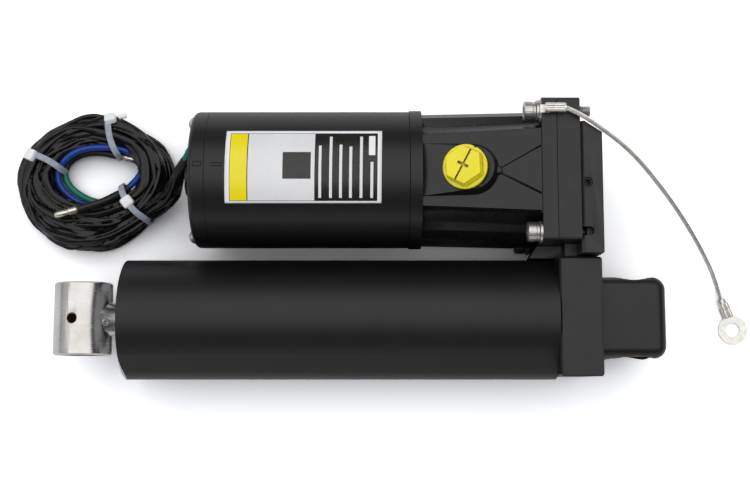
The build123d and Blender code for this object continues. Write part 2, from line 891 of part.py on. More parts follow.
def make_stack_screws():
    screws = []
    for y, z in stack_places():
        right = head_right(y, z)
        head = rod_x(screw_head_radius, right - screw_head_length, right, y, z)
        head = chamfer(head.edges().group_by(Axis.X)[0], 0.5)
        socket = prism_x(RegularPolygon(screw_socket_flats / 2, 6, major_radius=False),
                         right - screw_head_length, right - screw_head_length + 3.0, y, z)
        end = right + screw_length if y > motor_y else pump_right + screw_bite
        screws.append(head - socket + rod_x(screw_radius, right, end, y, z))
    return group(*screws)


def make_lock_washers():
    return group(*[ring_x(lock_washer_radius, screw_radius, head_right(y, z),
                          head_right(y, z) + washer_thickness, y, z) for y, z in stack_places()])


def make_flat_washers():
    return group(*[ring_x(washer_radius, screw_radius, head_right(y, z) + washer_thickness,
                          head_right(y, z) + 2 * washer_thickness, y, z) for y, z in stack_places()])


# Valve body with shuttle, check poppets, release screw and plug
def spool_x():
    return (valve_left + valve_right) / 2


def make_valve_body():
    outline = Polyline((valve_left, valve_low_y), (valve_right, valve_low_y),
                       (valve_right, valve_high_y - valve_corner_y),
                       (valve_right - valve_corner_x, valve_high_y),
                       (valve_left, valve_high_y), close=True)
    body = extrude(Pos(0, 0, plate_bottom) * make_face(outline), plate_top - plate_bottom - valve_top_step)
    body -= cuboid(valve_left, valve_left + valve_edge_step, valve_low_y, valve_high_y,
                   plate_top - valve_top_step - valve_edge_depth, plate_top)
    foot = Polyline((gusset_left, valve_low_y), (valve_left + 1.0, valve_low_y),
                    (valve_left + 1.0, valve_low_y + 9.6), (pump_left - 6.0, valve_low_y + 9.6),
                    close=True)
    lower = extrude(Pos(0, 0, motor_z - foot_half_z) * make_face(foot), foot_half_z + 3.0)
    lower &= cuboid(gusset_left, valve_left, valve_low_y, motor_y - plate_low - 0.2,
                   2 * plate_bottom, 2 * plate_top)
    body += lower
    body += cuboid(foot_left, valve_left + 1.0, valve_low_y, motor_y - plate_low - 0.2,
                   motor_z - foot_half_z, motor_z + foot_half_z)
    spool_bore = spool_radius + run_gap
    body -= rod_y(spool_bore, spool_y - valve_bore_half(), spool_y + valve_bore_half(),
                  spool_x(), motor_z)
    chamber = poppet_radius + run_gap
    body -= rod_y(chamber, spool_y + seat_half(), valve_high_y, spool_x(), motor_z)
    body -= rod_y(chamber, chamber_low(), spool_y - seat_half(), spool_x(), motor_z)
    body -= rod_z(release_radius, plate_top - valve_top_step - release_length, plate_top,
                  release_x, release_y)
    half = tip_slot_width / 2
    body -= cuboid(valve_left, valve_left + tip_slot_length - half, bolt_y_low - half,
                   bolt_y_low + half, bolt_z_high, plate_top)
    body -= rod_z(half, bolt_z_high, plate_top, valve_left + tip_slot_length - half, bolt_y_low)
    for y, z in stack_places():
        if y < motor_y:
            body -= rod_x(screw_radius, valve_left, pump_right + screw_bite, y, z)
    return body


def seat_half():
    return spool_half + pilot_length + poppet_travel + 0.6


def valve_bore_half():
    return seat_half()


def chamber_low():
    return spool_y - seat_half() - poppet_length - poppet_travel - 0.6


def make_spool():
    y0 = spool_y - spool_half
    y1 = spool_y + spool_half
    body = rod_y(spool_radius, y0, y1, spool_x(), motor_z)
    for middle in (spool_y - 3.5, spool_y + 3.5):
        groove = rod_y(spool_radius, middle - 1.0, middle + 1.0, spool_x(), motor_z)
        body -= groove - rod_y(spool_radius - 0.8, middle - 1.0, middle + 1.0, spool_x(), motor_z)
    body += rod_y(0.9, y1, y1 + pilot_length, spool_x(), motor_z)
    return body + rod_y(0.9, y0 - pilot_length, y0, spool_x(), motor_z)


def make_poppet(side):
    start = seat_half() + 0.02
    nose = Cone(poppet_radius, spool_radius - 0.6, 2.0)
    body = Pos(0, 0, 1.0) * Rot(180, 0, 0) * nose
    body += Pos(0, 0, 2.0 + (poppet_length - 2.0) / 2) * Cylinder(poppet_radius, poppet_length - 2.0)
    return Pos(spool_x(), spool_y + side * start, motor_z) * Rot(-90 * side, 0, 0) * body


def make_valve_plug():
    left = spool_y + seat_half() + poppet_length + poppet_travel + 4.0
    body = rod_y(poppet_radius + run_gap, left, valve_high_y, spool_x(), motor_z)
    hexagon = Plane((spool_x(), valve_high_y - 2.5, motor_z), x_dir=(1, 0, 0), z_dir=(0, 1, 0))
    return body - extrude(hexagon * RegularPolygon(1.6, 6, major_radius=False), 2.5)


def make_release_screw():
    top = plate_top - valve_top_step
    body = rod_z(release_radius - run_gap, top - release_length + 1.0, top - 0.6, release_x, release_y)
    socket = RegularPolygon(release_socket_flats / 2, 6, major_radius=False)
    return body - extrude(Pos(release_x, release_y, top - 3.6) * socket, 3.0)


def make_transfer_seal():
    body = cuboid(gallery_port_x() - 5.0, base_right - 1.0, base_half, valve_low_y,
                  motor_z - foot_half_z + 1.0, motor_z + foot_half_z - 1.0)
    body -= rod_y(port_radius, base_half, valve_low_y, port_x(), 0.0)
    return body - rod_y(gallery_radius, base_half, valve_low_y, gallery_port_x(), gallery_z)


# Ground strap: two crimped ring terminals and the cable between them
def near_crimp_z():
    return plate_top + crimp_radius + 0.6


def make_near_terminal():
    x0 = flange_left - lug_plate
    y, z = stack_places()[0]
    body = rod_x(near_ring_radius, x0, flange_left, y, z)
    body += cuboid(x0, flange_left, y - 2.2, y + 2.2, z + 3.0, plate_top + 0.3 + lug_plate)
    body += cuboid(x0, flange_left + 4.0, y - 2.2, y + 2.2, plate_top + 0.3, plate_top + 0.3 + lug_plate)
    body -= rod_x(screw_radius, x0, flange_left, y, z)
    start = flange_left + near_crimp_start
    end = start + near_crimp_length
    body += rod_x(crimp_radius, start, end, y, near_crimp_z())
    return body - rod_x(strap_radius, end - near_crimp_length / 2, end, y, near_crimp_z())


def far_frame():
    return Pos(far_ring_x, far_ring_y, floor_z) * Rot(0, 0, far_angle)


def make_far_terminal():
    body = Pos(0, 0, 0.6) * Cylinder(far_ring_radius, 1.2)
    body += Pos(far_ring_radius + 1.5, 0, 0.6) * Box(8.0, 5.6, 1.2)
    reach = far_tongue - crimp_length
    barrel = Pos(reach + crimp_length / 2, 0, crimp_radius) * Rot(0, 90, 0) * Cylinder(crimp_radius,
                                                                                      crimp_length)
    body += barrel
    body -= Pos(0, 0, 0.6) * Cylinder(far_hole_radius, 1.2)
    body -= Pos(far_tongue - 2.5, 0, crimp_radius) * Rot(0, 90, 0) * Cylinder(strap_radius, 5.0)
    return far_frame() * body


def bent_tube(points, radius):
    vectors = [Vector(*point) for point in points]
    radii = []
    for before, here, after in zip(vectors, vectors[1:], vectors[2:]):
        turn = radians((here - before).get_angle(after - here))
        shorter = min((here - before).length, (after - here).length)
        radii.append(0.45 * shorter / tan(turn / 2))
    path = FilletPolyline(*points, radius=radii)
    start = Plane(origin=path @ 0, z_dir=path % 0)
    tube = sweep(start * Circle(radius), path)
    print("arc radii", [round(r, 1) for r in radii], "length", round(path.length, 1))
    print("volume ratio", round(tube.volume / (pi * radius ** 2 * path.length), 4))
    return tube


strap_route = [
    (flange_left + near_crimp_start + near_crimp_length, bolt_y_high, near_crimp_z()),
    (-32.4, 109.4, 43.6), (-21.3, 101.2, 42.6), (-3.0, 88.6, 34.5), (19.5, 68.0, 17.0),
    (37.5, 49.5, -1.5), (51.5, 32.0, -17.5), (58.4, 21.9, -28.6),
    (far_ring_x + far_tongue * cos(radians(far_angle)),
     far_ring_y + far_tongue * sin(radians(far_angle)), floor_z + crimp_radius)]

lead_route = [(cap_left - 1.6, grommet_y, grommet_z), (-252.4, 90.6, 9.6), (-259.4, 88.4, 1.6),
              (-263.2, 87.0, coil_top_z + 0.5)]

blue_route = [
    (-309.6, 66.9, -28.2), (-315.0, 68.8, -27.5), (-321.6, 72.2, -26.0), (-326.4, 77.2, -24.0),
    (-328.0, 83.4, -22.0), (-327.0, 89.9, -20.5), (-322.9, 95.2, -19.0), (-316.1, 99.6, -18.2),
    (-308.1, 101.6, -18.0), (-296.7, 101.8, -18.0), (-289.5, 100.4, -18.4), (-283.0, 97.0, -18.8),
    (-280.2, 92.0, -18.8), (-281.0, 85.6, -18.0), (-286.5, 77.2, -15.9), (-291.4, 72.6, -13.6),
    (-296.6, 69.4, -11.6), (-303.8, 66.4, -10.9), (-313.6, 63.7, -10.9)]

green_route = [
    (-302.9, 71.2, -28.0), (-307.5, 72.0, -27.8), (-313.5, 74.1, -27.2), (-319.0, 78.0, -26.4),
    (-322.6, 82.6, -25.6), (-323.6, 87.6, -25.0), (-321.6, 92.4, -24.4), (-316.4, 96.4, -24.0),
    (-309.4, 98.6, -23.8), (-300.4, 99.0, -23.8), (-289.3, 96.8, -24.2)]


# Coiled harness, its wires, ties and terminals
coil_outline = [
    (-258.8, 84.0), (-262.0, 101.8), (-274.5, 114.0), (-290.5, 121.0), (-305.0, 122.7), (-320.5, 118.5),
    (-335.0, 109.5), (-346.0, 98.0), (-351.5, 84.0), (-349.0, 70.0), (-341.5, 57.5), (-327.0, 46.0),
    (-305.0, 41.0), (-288.0, 46.5), (-273.0, 59.5), (-263.0, 72.5)]

tie_places = [((-291.8, 93.8), (-297.9, 125.2)), ((-319.6, 87.8), (-349.6, 100.0)),
              ((-288.6, 80.4), (-269.2, 53.4))]


def make_coil():
    low = floor_z + tie_thickness + tie_gap
    outline = make_face(Spline(*coil_outline, periodic=True))
    outline -= Pos(coil_hole_x, coil_hole_y) * Ellipse(coil_hole_half_x, coil_hole_half_y)
    body = extrude(Pos(0, 0, low) * outline, coil_top_z - low)
    body = fillet(body.edges().filter_by(Plane.XY), coil_round)
    body -= bent_tube(blue_route, wire_radius + wire_channel)
    return body - make_bullet(green_route, green_bullet_length + wire_channel, bullet_radius + wire_channel)


def make_tie(inner, outer):
    start, end = Vector(*inner), Vector(*outer)
    reach = (end - start).length
    height = coil_top_z + tie_thickness + tie_gap - floor_z
    loop = Box(reach, tie_width, height) - Box(reach - 2 * tie_thickness, tie_width,
                                               height - 2 * tie_thickness)
    head = Pos(reach / 2 + tie_head_long / 2, 0) * Box(tie_head_long, tie_head_wide, tie_head_high)
    middle = (start + end) / 2
    angle = degrees(atan2(end.Y - start.Y, end.X - start.X))
    return Pos(middle.X, middle.Y, floor_z + height / 2) * Rot(0, 0, angle) * (loop + head)


def make_ties():
    return group(*[make_tie(inner, outer) for inner, outer in tie_places])


def make_bullet(route, length, radius):
    before, end = Vector(*route[-2]), Vector(*route[-1])
    return extrude(Plane(origin=end, z_dir=end - before) * Circle(radius), length)


def make_bullets():
    return group(make_bullet(blue_route, blue_bullet_length, bullet_radius),
                 make_bullet(green_route, green_bullet_length, bullet_radius))


makers = {
    "cylinder_barrel": make_barrel,
    "cylinder_base": make_base,
    "base_o_ring": make_base_ring,
    "lug_bush": make_lug_bush,
    "gland_cap": make_gland,
    "gland_o_ring": make_gland_ring,
    "rod_wiper": make_wiper,
    "rod_seal": make_rod_seal,
    "ram_rod": make_rod,
    "rod_eye": make_eye,
    "eye_bush": make_eye_bush,
    "ram_piston": make_piston,
    "piston_ring": make_piston_ring,
    "piston_nut": make_piston_nut,
    "relief_balls": make_relief_balls,
    "memory_piston": make_memory_piston,
    "memory_o_ring": make_memory_ring,
    "motor_housing": make_motor_housing,
    "motor_end_cap": make_motor_end_cap,
    "rear_bearing": make_rear_bearing,
    "wire_grommet": make_grommet,
    "front_bell": make_front_bell,
    "front_bearing": make_front_bearing,
    "through_bolts": make_through_bolts,
    "field_magnets": make_magnets,
    "armature_core": make_armature_core,
    "armature_windings": make_windings,
    "commutator": make_commutator,
    "motor_shaft": make_shaft,
    "carbon_brushes": make_brushes,
    "brush_holder": make_brush_holder,
    "drive_coupling": make_coupling,
    "reservoir": make_reservoir,
    "reservoir_seal": make_reservoir_seal,
    "cap_seal": make_cap_seal,
    "fill_cap": make_fill_cap,
    "pump_body": make_pump_body,
    "pump_cover": make_pump_cover,
    "drive_gear": make_drive_gear,
    "driven_gear": make_driven_gear,
    "gear_pin": make_gear_pin,
    "stack_screws": make_stack_screws,
    "lock_washers": make_lock_washers,
    "flat_washers": make_flat_washers,
    "valve_body": make_valve_body,
    "shuttle_spool": make_spool,
    "check_poppet_rear": lambda: make_poppet(-1),
    "check_poppet_front": lambda: make_poppet(1),
    "valve_plug": make_valve_plug,
    "release_screw": make_release_screw,
    "transfer_seal": make_transfer_seal,
    "strap_near_terminal": make_near_terminal,
    "strap_far_terminal": make_far_terminal,
    "strap_cable": lambda: bent_tube(strap_route, strap_radius),
    "harness_coil": make_coil,
    "harness_lead": lambda: bent_tube(lead_route, lead_radius),
    "wire_blue": lambda: bent_tube(blue_route, wire_radius),
    "wire_green": lambda: bent_tube(green_route, wire_radius),
    "cable_ties": make_ties,
    "bullet_terminals": make_bullets,
}

for name, maker in makers.items():
    save(name, maker())
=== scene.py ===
import bpy
import bmesh
import json
from math import atan2, cos, pi, radians, sin
from mathutils import Matrix, Vector, noise


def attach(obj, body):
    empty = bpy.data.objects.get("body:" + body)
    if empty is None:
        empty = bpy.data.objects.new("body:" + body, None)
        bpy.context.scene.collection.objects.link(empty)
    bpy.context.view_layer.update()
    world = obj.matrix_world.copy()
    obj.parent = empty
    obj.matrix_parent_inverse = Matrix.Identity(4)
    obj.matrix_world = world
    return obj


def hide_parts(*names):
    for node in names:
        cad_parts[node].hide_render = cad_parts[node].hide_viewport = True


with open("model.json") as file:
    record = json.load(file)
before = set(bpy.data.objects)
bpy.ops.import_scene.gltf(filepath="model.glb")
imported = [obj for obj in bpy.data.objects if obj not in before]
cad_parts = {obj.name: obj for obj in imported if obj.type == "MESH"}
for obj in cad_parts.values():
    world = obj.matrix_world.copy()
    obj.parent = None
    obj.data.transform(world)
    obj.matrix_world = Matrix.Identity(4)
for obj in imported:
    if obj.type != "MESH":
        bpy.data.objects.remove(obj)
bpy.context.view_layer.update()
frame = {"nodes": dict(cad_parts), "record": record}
scene = bpy.context.scene
mm = 0.001
weld = 1e-6  # corners of a made shape that lie closer than this, in metres, are one
fineWeld = 1e-8  # the same for thin strands and tubes
bodyOf = {node: body for body, nodes in frame["record"]["behaviour"]["bodies"].items() for node in nodes}


def linked(name, data):
    made = bpy.data.objects.new(name, data)
    scene.collection.objects.link(made)
    return made


# Camera: above the unit, leaning 6.6 degrees from straight down
camera = {"place": (-0.1417, -0.0360, 0.6498), "lean": 6.59, "lens": 55.68, "reach": 50}
cameraObject = linked("camera", bpy.data.cameras.new("camera"))
cameraObject.data.lens = camera["lens"]
cameraObject.data.clip_end = camera["reach"]
cameraObject.location = camera["place"]
cameraObject.rotation_euler = (radians(camera["lean"]), 0, 0)
scene.camera = cameraObject
scene.view_settings.view_transform = "Standard"
print("camera ready")


def inMetres(points):
    return [Vector(point) * mm for point in points]


def hexColour(code):
    channels = [int(code[i:i + 2], 16) / 255 for i in (1, 3, 5)]
    linear = [c / 12.92 if c <= 0.04045 else ((c + 0.055) / 1.055) ** 2.4 for c in channels]
    return (*linear, 1.0)


def addNode(tree, kind, inputs=None, **settings):
    node = tree.nodes.new(kind)
    for key, value in settings.items():
        setattr(node, key, value)
    for key, value in (inputs or {}).items():
        if isinstance(value, bpy.types.NodeSocket):
            tree.links.new(value, node.inputs[key])
        else:
            node.inputs[key].default_value = value
    return node


def emptyTree(owner):
    owner.use_nodes = True
    owner.node_tree.nodes.clear()
    return owner.node_tree


# Surfaces. A finish has two colours that drift into each other over some millimetres, a grain (its size
# and its depth, in millimetres) that gives the bump, and a roughness that wanders with the grain between
# two values. stretch pulls the grain into lines. Each range is the part of a pattern that is put to use.
# the corner range and the darkest share set how much painted shade the hollows get
skin = {"driftRange": (0.36, 0.66), "driftDetail": 4.0, "driftRoughness": 0.6, "grainRange": (0.3, 0.7),
        "grainDetail": 3.0, "grainRoughness": 0.55, "cornerRange": (0.52, 0.72), "paintedShadeMost": 0.95,
        "edgeRange": (0.52, 0.62)}


def makeFinish(name, look):
    made = bpy.data.materials.new(name)
    tree = emptyTree(made)
    place = addNode(tree, "ShaderNodeTexCoord").outputs["Object"]
    drift = addNode(tree, "ShaderNodeTexNoise", {
        "Vector": place, "Scale": 1000 / look["drift"], "Detail": skin["driftDetail"],
        "Roughness": skin["driftRoughness"]}).outputs["Fac"]
    ramp = addNode(tree, "ShaderNodeValToRGB", {"Fac": drift})
    for stop, position, code in zip(ramp.color_ramp.elements, skin["driftRange"], look["colours"]):
        stop.position = position
        stop.color = hexColour(code)
    colour = ramp.outputs["Color"]
    grainSize, grainDepth = look["grain"]
    lines = addNode(tree, "ShaderNodeMapping", {"Vector": place, "Scale": look.get("stretch", (1, 1, 1))})
    grain = addNode(tree, "ShaderNodeTexNoise", {
        "Vector": lines.outputs["Vector"], "Scale": 1000 / grainSize, "Detail": skin["grainDetail"],
        "Roughness": skin["grainRoughness"]}).outputs["Fac"]
    gloss = addNode(tree, "ShaderNodeMapRange", {
        "Value": grain, "From Min": skin["grainRange"][0], "From Max": skin["grainRange"][1],
        "To Min": look["roughness"][0], "To Max": look["roughness"][1]})
    bump = addNode(tree, "ShaderNodeBump", {
        "Height": grain, "Strength": 1.0, "Distance": grainDepth * mm})
    if "paintedShade" in look:
        # painted shade: slots and corners, found hollow by ambient occlusion, are coloured a darker brown
        corners = addNode(tree, "ShaderNodeAmbientOcclusion", {
            "Distance": look["paintedShadeReach"] * mm}, samples=8)
        share = addNode(tree, "ShaderNodeMapRange", {
            "Value": corners.outputs["AO"], "From Min": skin["cornerRange"][0],
            "From Max": skin["cornerRange"][1], "To Min": skin["paintedShadeMost"], "To Max": 0.0})
        colour = addNode(tree, "ShaderNodeMix", {
            0: share.outputs["Result"], 6: colour, 7: hexColour(look["paintedShade"])}, data_type="RGBA").outputs[2]
    if "worn" in look:
        # edges are rubbed, in broken patches
        raised = addNode(tree, "ShaderNodeNewGeometry").outputs["Pointiness"]
        rubbed = addNode(tree, "ShaderNodeMapRange", {
            "Value": raised, "From Min": skin["edgeRange"][0], "From Max": skin["edgeRange"][1],
            "To Min": 0.0, "To Max": look["wear"]})
        broken = addNode(tree, "ShaderNodeMath", {
            0: rubbed.outputs["Result"], 1: drift}, operation="MULTIPLY")
        colour = addNode(tree, "ShaderNodeMix", {
            0: broken.outputs["Value"], 6: colour, 7: hexColour(look["worn"])}, data_type="RGBA").outputs[2]
    shader = addNode(tree, "ShaderNodeBsdfPrincipled", {
        "Base Color": colour, "Roughness": gloss.outputs["Result"], "Normal": bump.outputs["Normal"],
        "Metallic": look.get("metallic", 0.0), **look.get("shader", {})})
    addNode(tree, "ShaderNodeOutputMaterial", {"Surface": shader.outputs["BSDF"]})
    return made


# printed vinyl film: flat colours under a thin clear coat, with a slow ripple from the can
film = {"drift": 25, "grain": (4.0, 0.010), "roughness": (0.26, 0.34)}
finishes = {
    # extruded aluminium, hard anodised black: a satin skin with a faint orange peel
    "hardAnodisedAluminium": {
        "colours": ("#0d0c0d", "#121113"), "drift": 18, "grain": (0.55, 0.012), "roughness": (0.40, 0.50)},
    # cast and milled aluminium, coated black: flat faces go even grey under a soft box
    "coatedAluminium": {
        "colours": ("#0e0e0f", "#141414"), "drift": 9, "grain": (0.4, 0.010), "roughness": (0.36, 0.46),
        "worn": "#4a4038", "wear": 0.5},
    # sheet steel in baked black enamel: semi-gloss, shows the soft boxes with a clear edge
    "bakedEnamel": {
        "colours": ("#0c0b0e", "#100f12"), "drift": 30, "grain": (1.6, 0.004), "roughness": (0.38, 0.44)},
    # glass-filled nylon, moulded: slight gloss over a fine pebbled skin
    "mouldedNylonBlack": {
        "colours": ("#0a0a0b", "#101012"), "drift": 6, "grain": (0.9, 0.014), "roughness": (0.24, 0.34)},
    # stainless bar, turned: fine rings round the Y axis that smear the highlights
    "turnedStainless": {
        "colours": ("#cbc8c4", "#dad7d4"), "drift": 14, "grain": (0.7, 0.002), "roughness": (0.22, 0.28),
        "metallic": 1.0, "stretch": (0.02, 1.0, 0.02)},
    # stainless screws and washers, cold headed and tumbled
    "tumbledStainless": {
        "colours": ("#c6c4c1", "#dddbd8"), "drift": 3, "grain": (0.5, 0.006), "roughness": (0.32, 0.44),
        "metallic": 1.0},
    # tinned copper: strands and crimps, soft grey-white
    "tinnedCopper": {
        "colours": ("#dcd8d1", "#efece6"), "drift": 4, "grain": (0.4, 0.006), "roughness": (0.20, 0.32),
        "metallic": 0.75},
    # ground and hard-chromed rod: close to a mirror
    "groundChrome": {
        "colours": ("#c9cacb", "#d6d7d8"), "drift": 12, "grain": (1.2, 0.002), "roughness": (0.08, 0.14),
        "metallic": 1.0, "stretch": (14, 0.2, 0.2)},
    # alloy steel screws, black oxide: a dull dark skin
    "blackOxide": {
        "colours": ("#0b0b0c", "#151516"), "drift": 2, "grain": (0.4, 0.008), "roughness": (0.34, 0.46),
        "metallic": 0.4},
    # machined carbon steel, oiled
    "machinedSteel": {
        "colours": ("#6f7073", "#8b8c90"), "drift": 6, "grain": (1.0, 0.006), "roughness": (0.25, 0.38),
        "metallic": 1.0, "stretch": (10, 0.3, 0.3)},
    # machined aluminium, bare
    "machinedAluminium": {
        "colours": ("#b4b5b8", "#c8c9cc"), "drift": 8, "grain": (1.0, 0.006), "roughness": (0.25, 0.36),
        "metallic": 1.0, "stretch": (10, 0.3, 0.3)},
    # sintered bronze bush: porous, dull gold
    "sinteredBronze": {
        "colours": ("#8a6a3a", "#a3824c"), "drift": 2, "grain": (0.3, 0.014), "roughness": (0.38, 0.52),
        "metallic": 1.0},
    # enamelled copper wire and copper segments
    "enamelledCopper": {
        "colours": ("#8c4a25", "#a8602f"), "drift": 3, "grain": (0.8, 0.03), "roughness": (0.25, 0.38),
        "metallic": 0.8, "stretch": (0.3, 3, 3)},
    # nickel plated brass bullet terminals
    "nickelPlate": {
        "colours": ("#e4ddcc", "#efe9dc"), "drift": 2, "grain": (0.4, 0.003), "roughness": (0.24, 0.34),
        "metallic": 1.0},
    # nitrile rubber seals
    "nitrileRubber": {
        "colours": ("#111111", "#171717"), "drift": 3, "grain": (0.5, 0.02), "roughness": (0.5, 0.62)},
    # sintered ferrite magnets
    "sinteredFerrite": {
        "colours": ("#27272a", "#343438"), "drift": 4, "grain": (0.4, 0.02), "roughness": (0.5, 0.65)},
    # pressed carbon brushes
    "pressedCarbon": {
        "colours": ("#141414", "#1d1d1e"), "drift": 2, "grain": (0.25, 0.01), "roughness": (0.45, 0.6)},
    # phenolic board
    "phenolicBoard": {
        "colours": ("#4b2e1b", "#5e3a22"), "drift": 3, "grain": (0.7, 0.01), "roughness": (0.4, 0.55),
        "stretch": (1, 6, 1)},
    # compressed fibre gasket sheet
    "gasketSheet": {
        "colours": ("#161616", "#202020"), "drift": 3, "grain": (0.5, 0.02), "roughness": (0.6, 0.75)},
    # yellow nylon, moulded: waxy gloss
    "yellowNylon": {
        "colours": ("#f4e212", "#f8ea22"), "drift": 7, "grain": (0.7, 0.012), "roughness": (0.30, 0.42),
        # painted shade: its slots and corners are coloured brown where they are hollow
        "paintedShade": "#7a5a0c", "paintedShadeReach": 2.2,
        "shader": {"Subsurface Weight": 0.12, "Subsurface Scale": 0.002}},
    # soft vinyl sleeve: thin, glossy, creased
    "vinylSleeve": {
        "colours": ("#050505", "#090809"), "drift": 12, "grain": (1.4, 0.006), "roughness": (0.24, 0.32),
        "shader": {"Specular IOR Level": 0.45}},
    # adhesive heat-shrink tube over the ends of the wires
    "heatShrink": {
        "colours": ("#0c0c0d", "#131314"), "drift": 5, "grain": (0.8, 0.02), "roughness": (0.34, 0.46)},
    "filmWhite": {**film, "colours": ("#f0f0f1", "#f5f5f6")},
    "filmGrey": {**film, "colours": ("#e0e0e2", "#e7e7e8")},
    "filmYellow": {**film, "colours": ("#f1df00", "#f5e408")},
    "filmShade": {**film, "colours": ("#2a2726", "#32302e"), "drift": 12},
    "filmInk": {**film, "colours": ("#1c1917", "#24201e")},
    # lines scribed into the enamel: they hold dirt and shine less than the paint round them
    "scribedLine": {
        "colours": ("#060606", "#0a0a0a"), "drift": 3, "grain": (0.4, 0.010), "roughness": (0.8, 0.9),
        "shader": {"Specular IOR Level": 0.1}},
    # PVC wire insulation, blue and green
    "bluePvc": {
        "colours": ("#03368f", "#0640a0"), "drift": 12, "grain": (0.8, 0.006), "roughness": (0.28, 0.38)},
    "greenPvc": {
        "colours": ("#016a57", "#047562"), "drift": 12, "grain": (0.8, 0.006), "roughness": (0.28, 0.38)},
    # natural nylon of the cable ties: milky heads, and thin bands that let the dark sleeve through
    "naturalNylon": {
        "colours": ("#f3f4f6", "#f9fafb"), "drift": 4, "grain": (0.6, 0.008), "roughness": (0.26, 0.36),
        "shader": {"Subsurface Weight": 0.15, "Subsurface Scale": 0.001}},
    "nylonBand": {
        "colours": ("#8d97a3", "#a5aeb9"), "drift": 3, "grain": (0.6, 0.008), "roughness": (0.28, 0.38),
        "shader": {"Subsurface Weight": 0.2, "Subsurface Scale": 0.001}}}
material = {name: makeFinish(name, look) for name, look in finishes.items()}
print("finishes made:", len(material))


def startPiece(name, mesh, finish, body, replaces=(), sharp=30):
    mesh.name = name
    mesh.polygons.foreach_set("use_smooth", [True] * len(mesh.polygons))
    mesh.set_sharp_from_angle(angle=radians(sharp))
    if not len(mesh.materials):
        mesh.materials.append(material[finish])
    piece = linked(name, mesh)
    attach(piece, body)
    if replaces:
        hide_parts(*replaces)
    return piece


def meshFrom(shape, merge=weld, outward=True):
    bmesh.ops.remove_doubles(shape, verts=shape.verts, dist=merge)
    if outward:
        bmesh.ops.recalc_face_normals(shape, faces=shape.faces)
    mesh = bpy.data.meshes.new("made")
    shape.to_mesh(mesh)
    shape.free()
    return mesh


def settled(piece):
    graph = bpy.context.evaluated_depsgraph_get()
    mesh = bpy.data.meshes.new_from_object(piece.evaluated_get(graph))
    piece.modifiers.clear()
    piece.data = mesh
    return piece


def skinRings(shape, rings, loop=False):
    rows = [[shape.verts.new(point) for point in ring] for ring in rings]
    count = len(rows[0])
    for near, far in zip(rows, rows[1:] + (rows[:1] if loop else [])):
        for i in range(count):
            j = (i + 1) % count
            shape.faces.new((near[i], near[j], far[j], far[i]))
    if not loop:
        shape.faces.new(rows[0][::-1])
        shape.faces.new(rows[-1])


def skinned(tubes, merge=weld):
    shape = bmesh.new()
    for rings in tubes:
        skinRings(shape, rings)
    return meshFrom(shape, merge)


def ringRound(centre, side, up, radius, count):
    angles = [2 * pi * i / count for i in range(count)]
    return [centre + (side * cos(angle) + up * sin(angle)) * radius * mm for angle in angles]


def turnedAlong(start, direction, profile, count=20):
    side = direction.orthogonal().normalized()
    up = direction.cross(side)
    return [ringRound(start + direction * along * mm, side, up, radius, count) for along, radius in profile]


# At each point of a line: the way that it runs, and two ways across it that don't twist
def axesAlong(points):
    tangents = []
    for i in range(len(points)):
        before, after = points[max(i - 1, 0)], points[min(i + 1, len(points) - 1)]
        tangents.append((after - before).normalized())
    side = tangents[0].orthogonal().normalized()
    axes = []
    for tangent in tangents:
        side = (side - tangent * side.dot(tangent)).normalized()
        axes.append((tangent, side.copy(), tangent.cross(side)))
    return axes


def routeCurve(name, points, radius):
    curve = bpy.data.curves.new(name, "CURVE")
    curve.dimensions = "3D"
    spline = curve.splines.new("NURBS")
    spline.points.add(len(points) - 1)
    for target, point in zip(spline.points, points):
        target.co = (*point, 1)
    spline.order_u = 3
    spline.use_endpoint_u = True
    spline.resolution_u = 16
    curve.bevel_depth = radius
    curve.bevel_resolution = 6
    curve.use_fill_caps = True
    return curve


# Points read from a route's spline, one step apart
def routeLine(points, step):
    curve = routeCurve("line", points, 0.0)
    holder = bpy.data.objects.new("line", curve)
    mesh = bpy.data.meshes.new_from_object(holder)
    line = [vertex.co.copy() for vertex in mesh.vertices]
    bpy.data.objects.remove(holder)
    bpy.data.meshes.remove(mesh)
    bpy.data.curves.remove(curve)
    spaced, gap = [line[0]], 0.0
    for before, after in zip(line, line[1:]):
        run = (after - before).length
        while gap + run >= step:
            before = before.lerp(after, (step - gap) / run)
            run = (after - before).length
            gap = 0.0
            spaced.append(before.copy())
        gap += run
    shortest = 0.3 * step  # a last run under this is left out
    if (line[-1] - spaced[-1]).length > shortest:
        spaced.append(line[-1])
    return spaced


def lengthOf(points):
    return sum((b - a).length for a, b in zip(points, points[1:]))


# Machined and moulded pieces keep the frame's own shape: its facets are joined into whole faces, and
# every sharp edge gets the small radius that the real one has
edges = {"weld": 2e-6, "flatWithin": 0.6, "trueWithin": 1e-7, "sharp": 30, "segments": 2}


def dressNode(node, finish, radius, cutters=()):
    shape = bmesh.new()
    shape.from_mesh(frame["nodes"][node].data)
    bmesh.ops.remove_doubles(shape, verts=shape.verts, dist=edges["weld"])
    bmesh.ops.dissolve_limit(shape, angle_limit=radians(edges["flatWithin"]), verts=shape.verts,
                             edges=shape.edges)
    mesh = meshFrom(shape, edges["trueWithin"], False)
    mesh.materials.clear()
    piece = startPiece(f"{node}_finished", mesh, finish, bodyOf[node], (node,), sharp=edges["sharp"])
    for cutter in cutters:
        tool = linked("cutter", cutter)
        cut = piece.modifiers.new("cut", "BOOLEAN")
        cut.operation = "DIFFERENCE"
        cut.solver = "EXACT"
        cut.object = tool
        settled(piece)
        bpy.data.objects.remove(tool)
        piece.data.set_sharp_from_angle(angle=radians(edges["sharp"]))
    bevel = piece.modifiers.new("edges", "BEVEL")
    bevel.width = radius * mm
    bevel.segments = edges["segments"]
    bevel.limit_method = "ANGLE"
    bevel.angle_limit = radians(edges["sharp"])
    bevel.harden_normals = True
    bevel.use_clamp_overlap = True
    settled(piece)
    piece.data.name = piece.name
    return piece


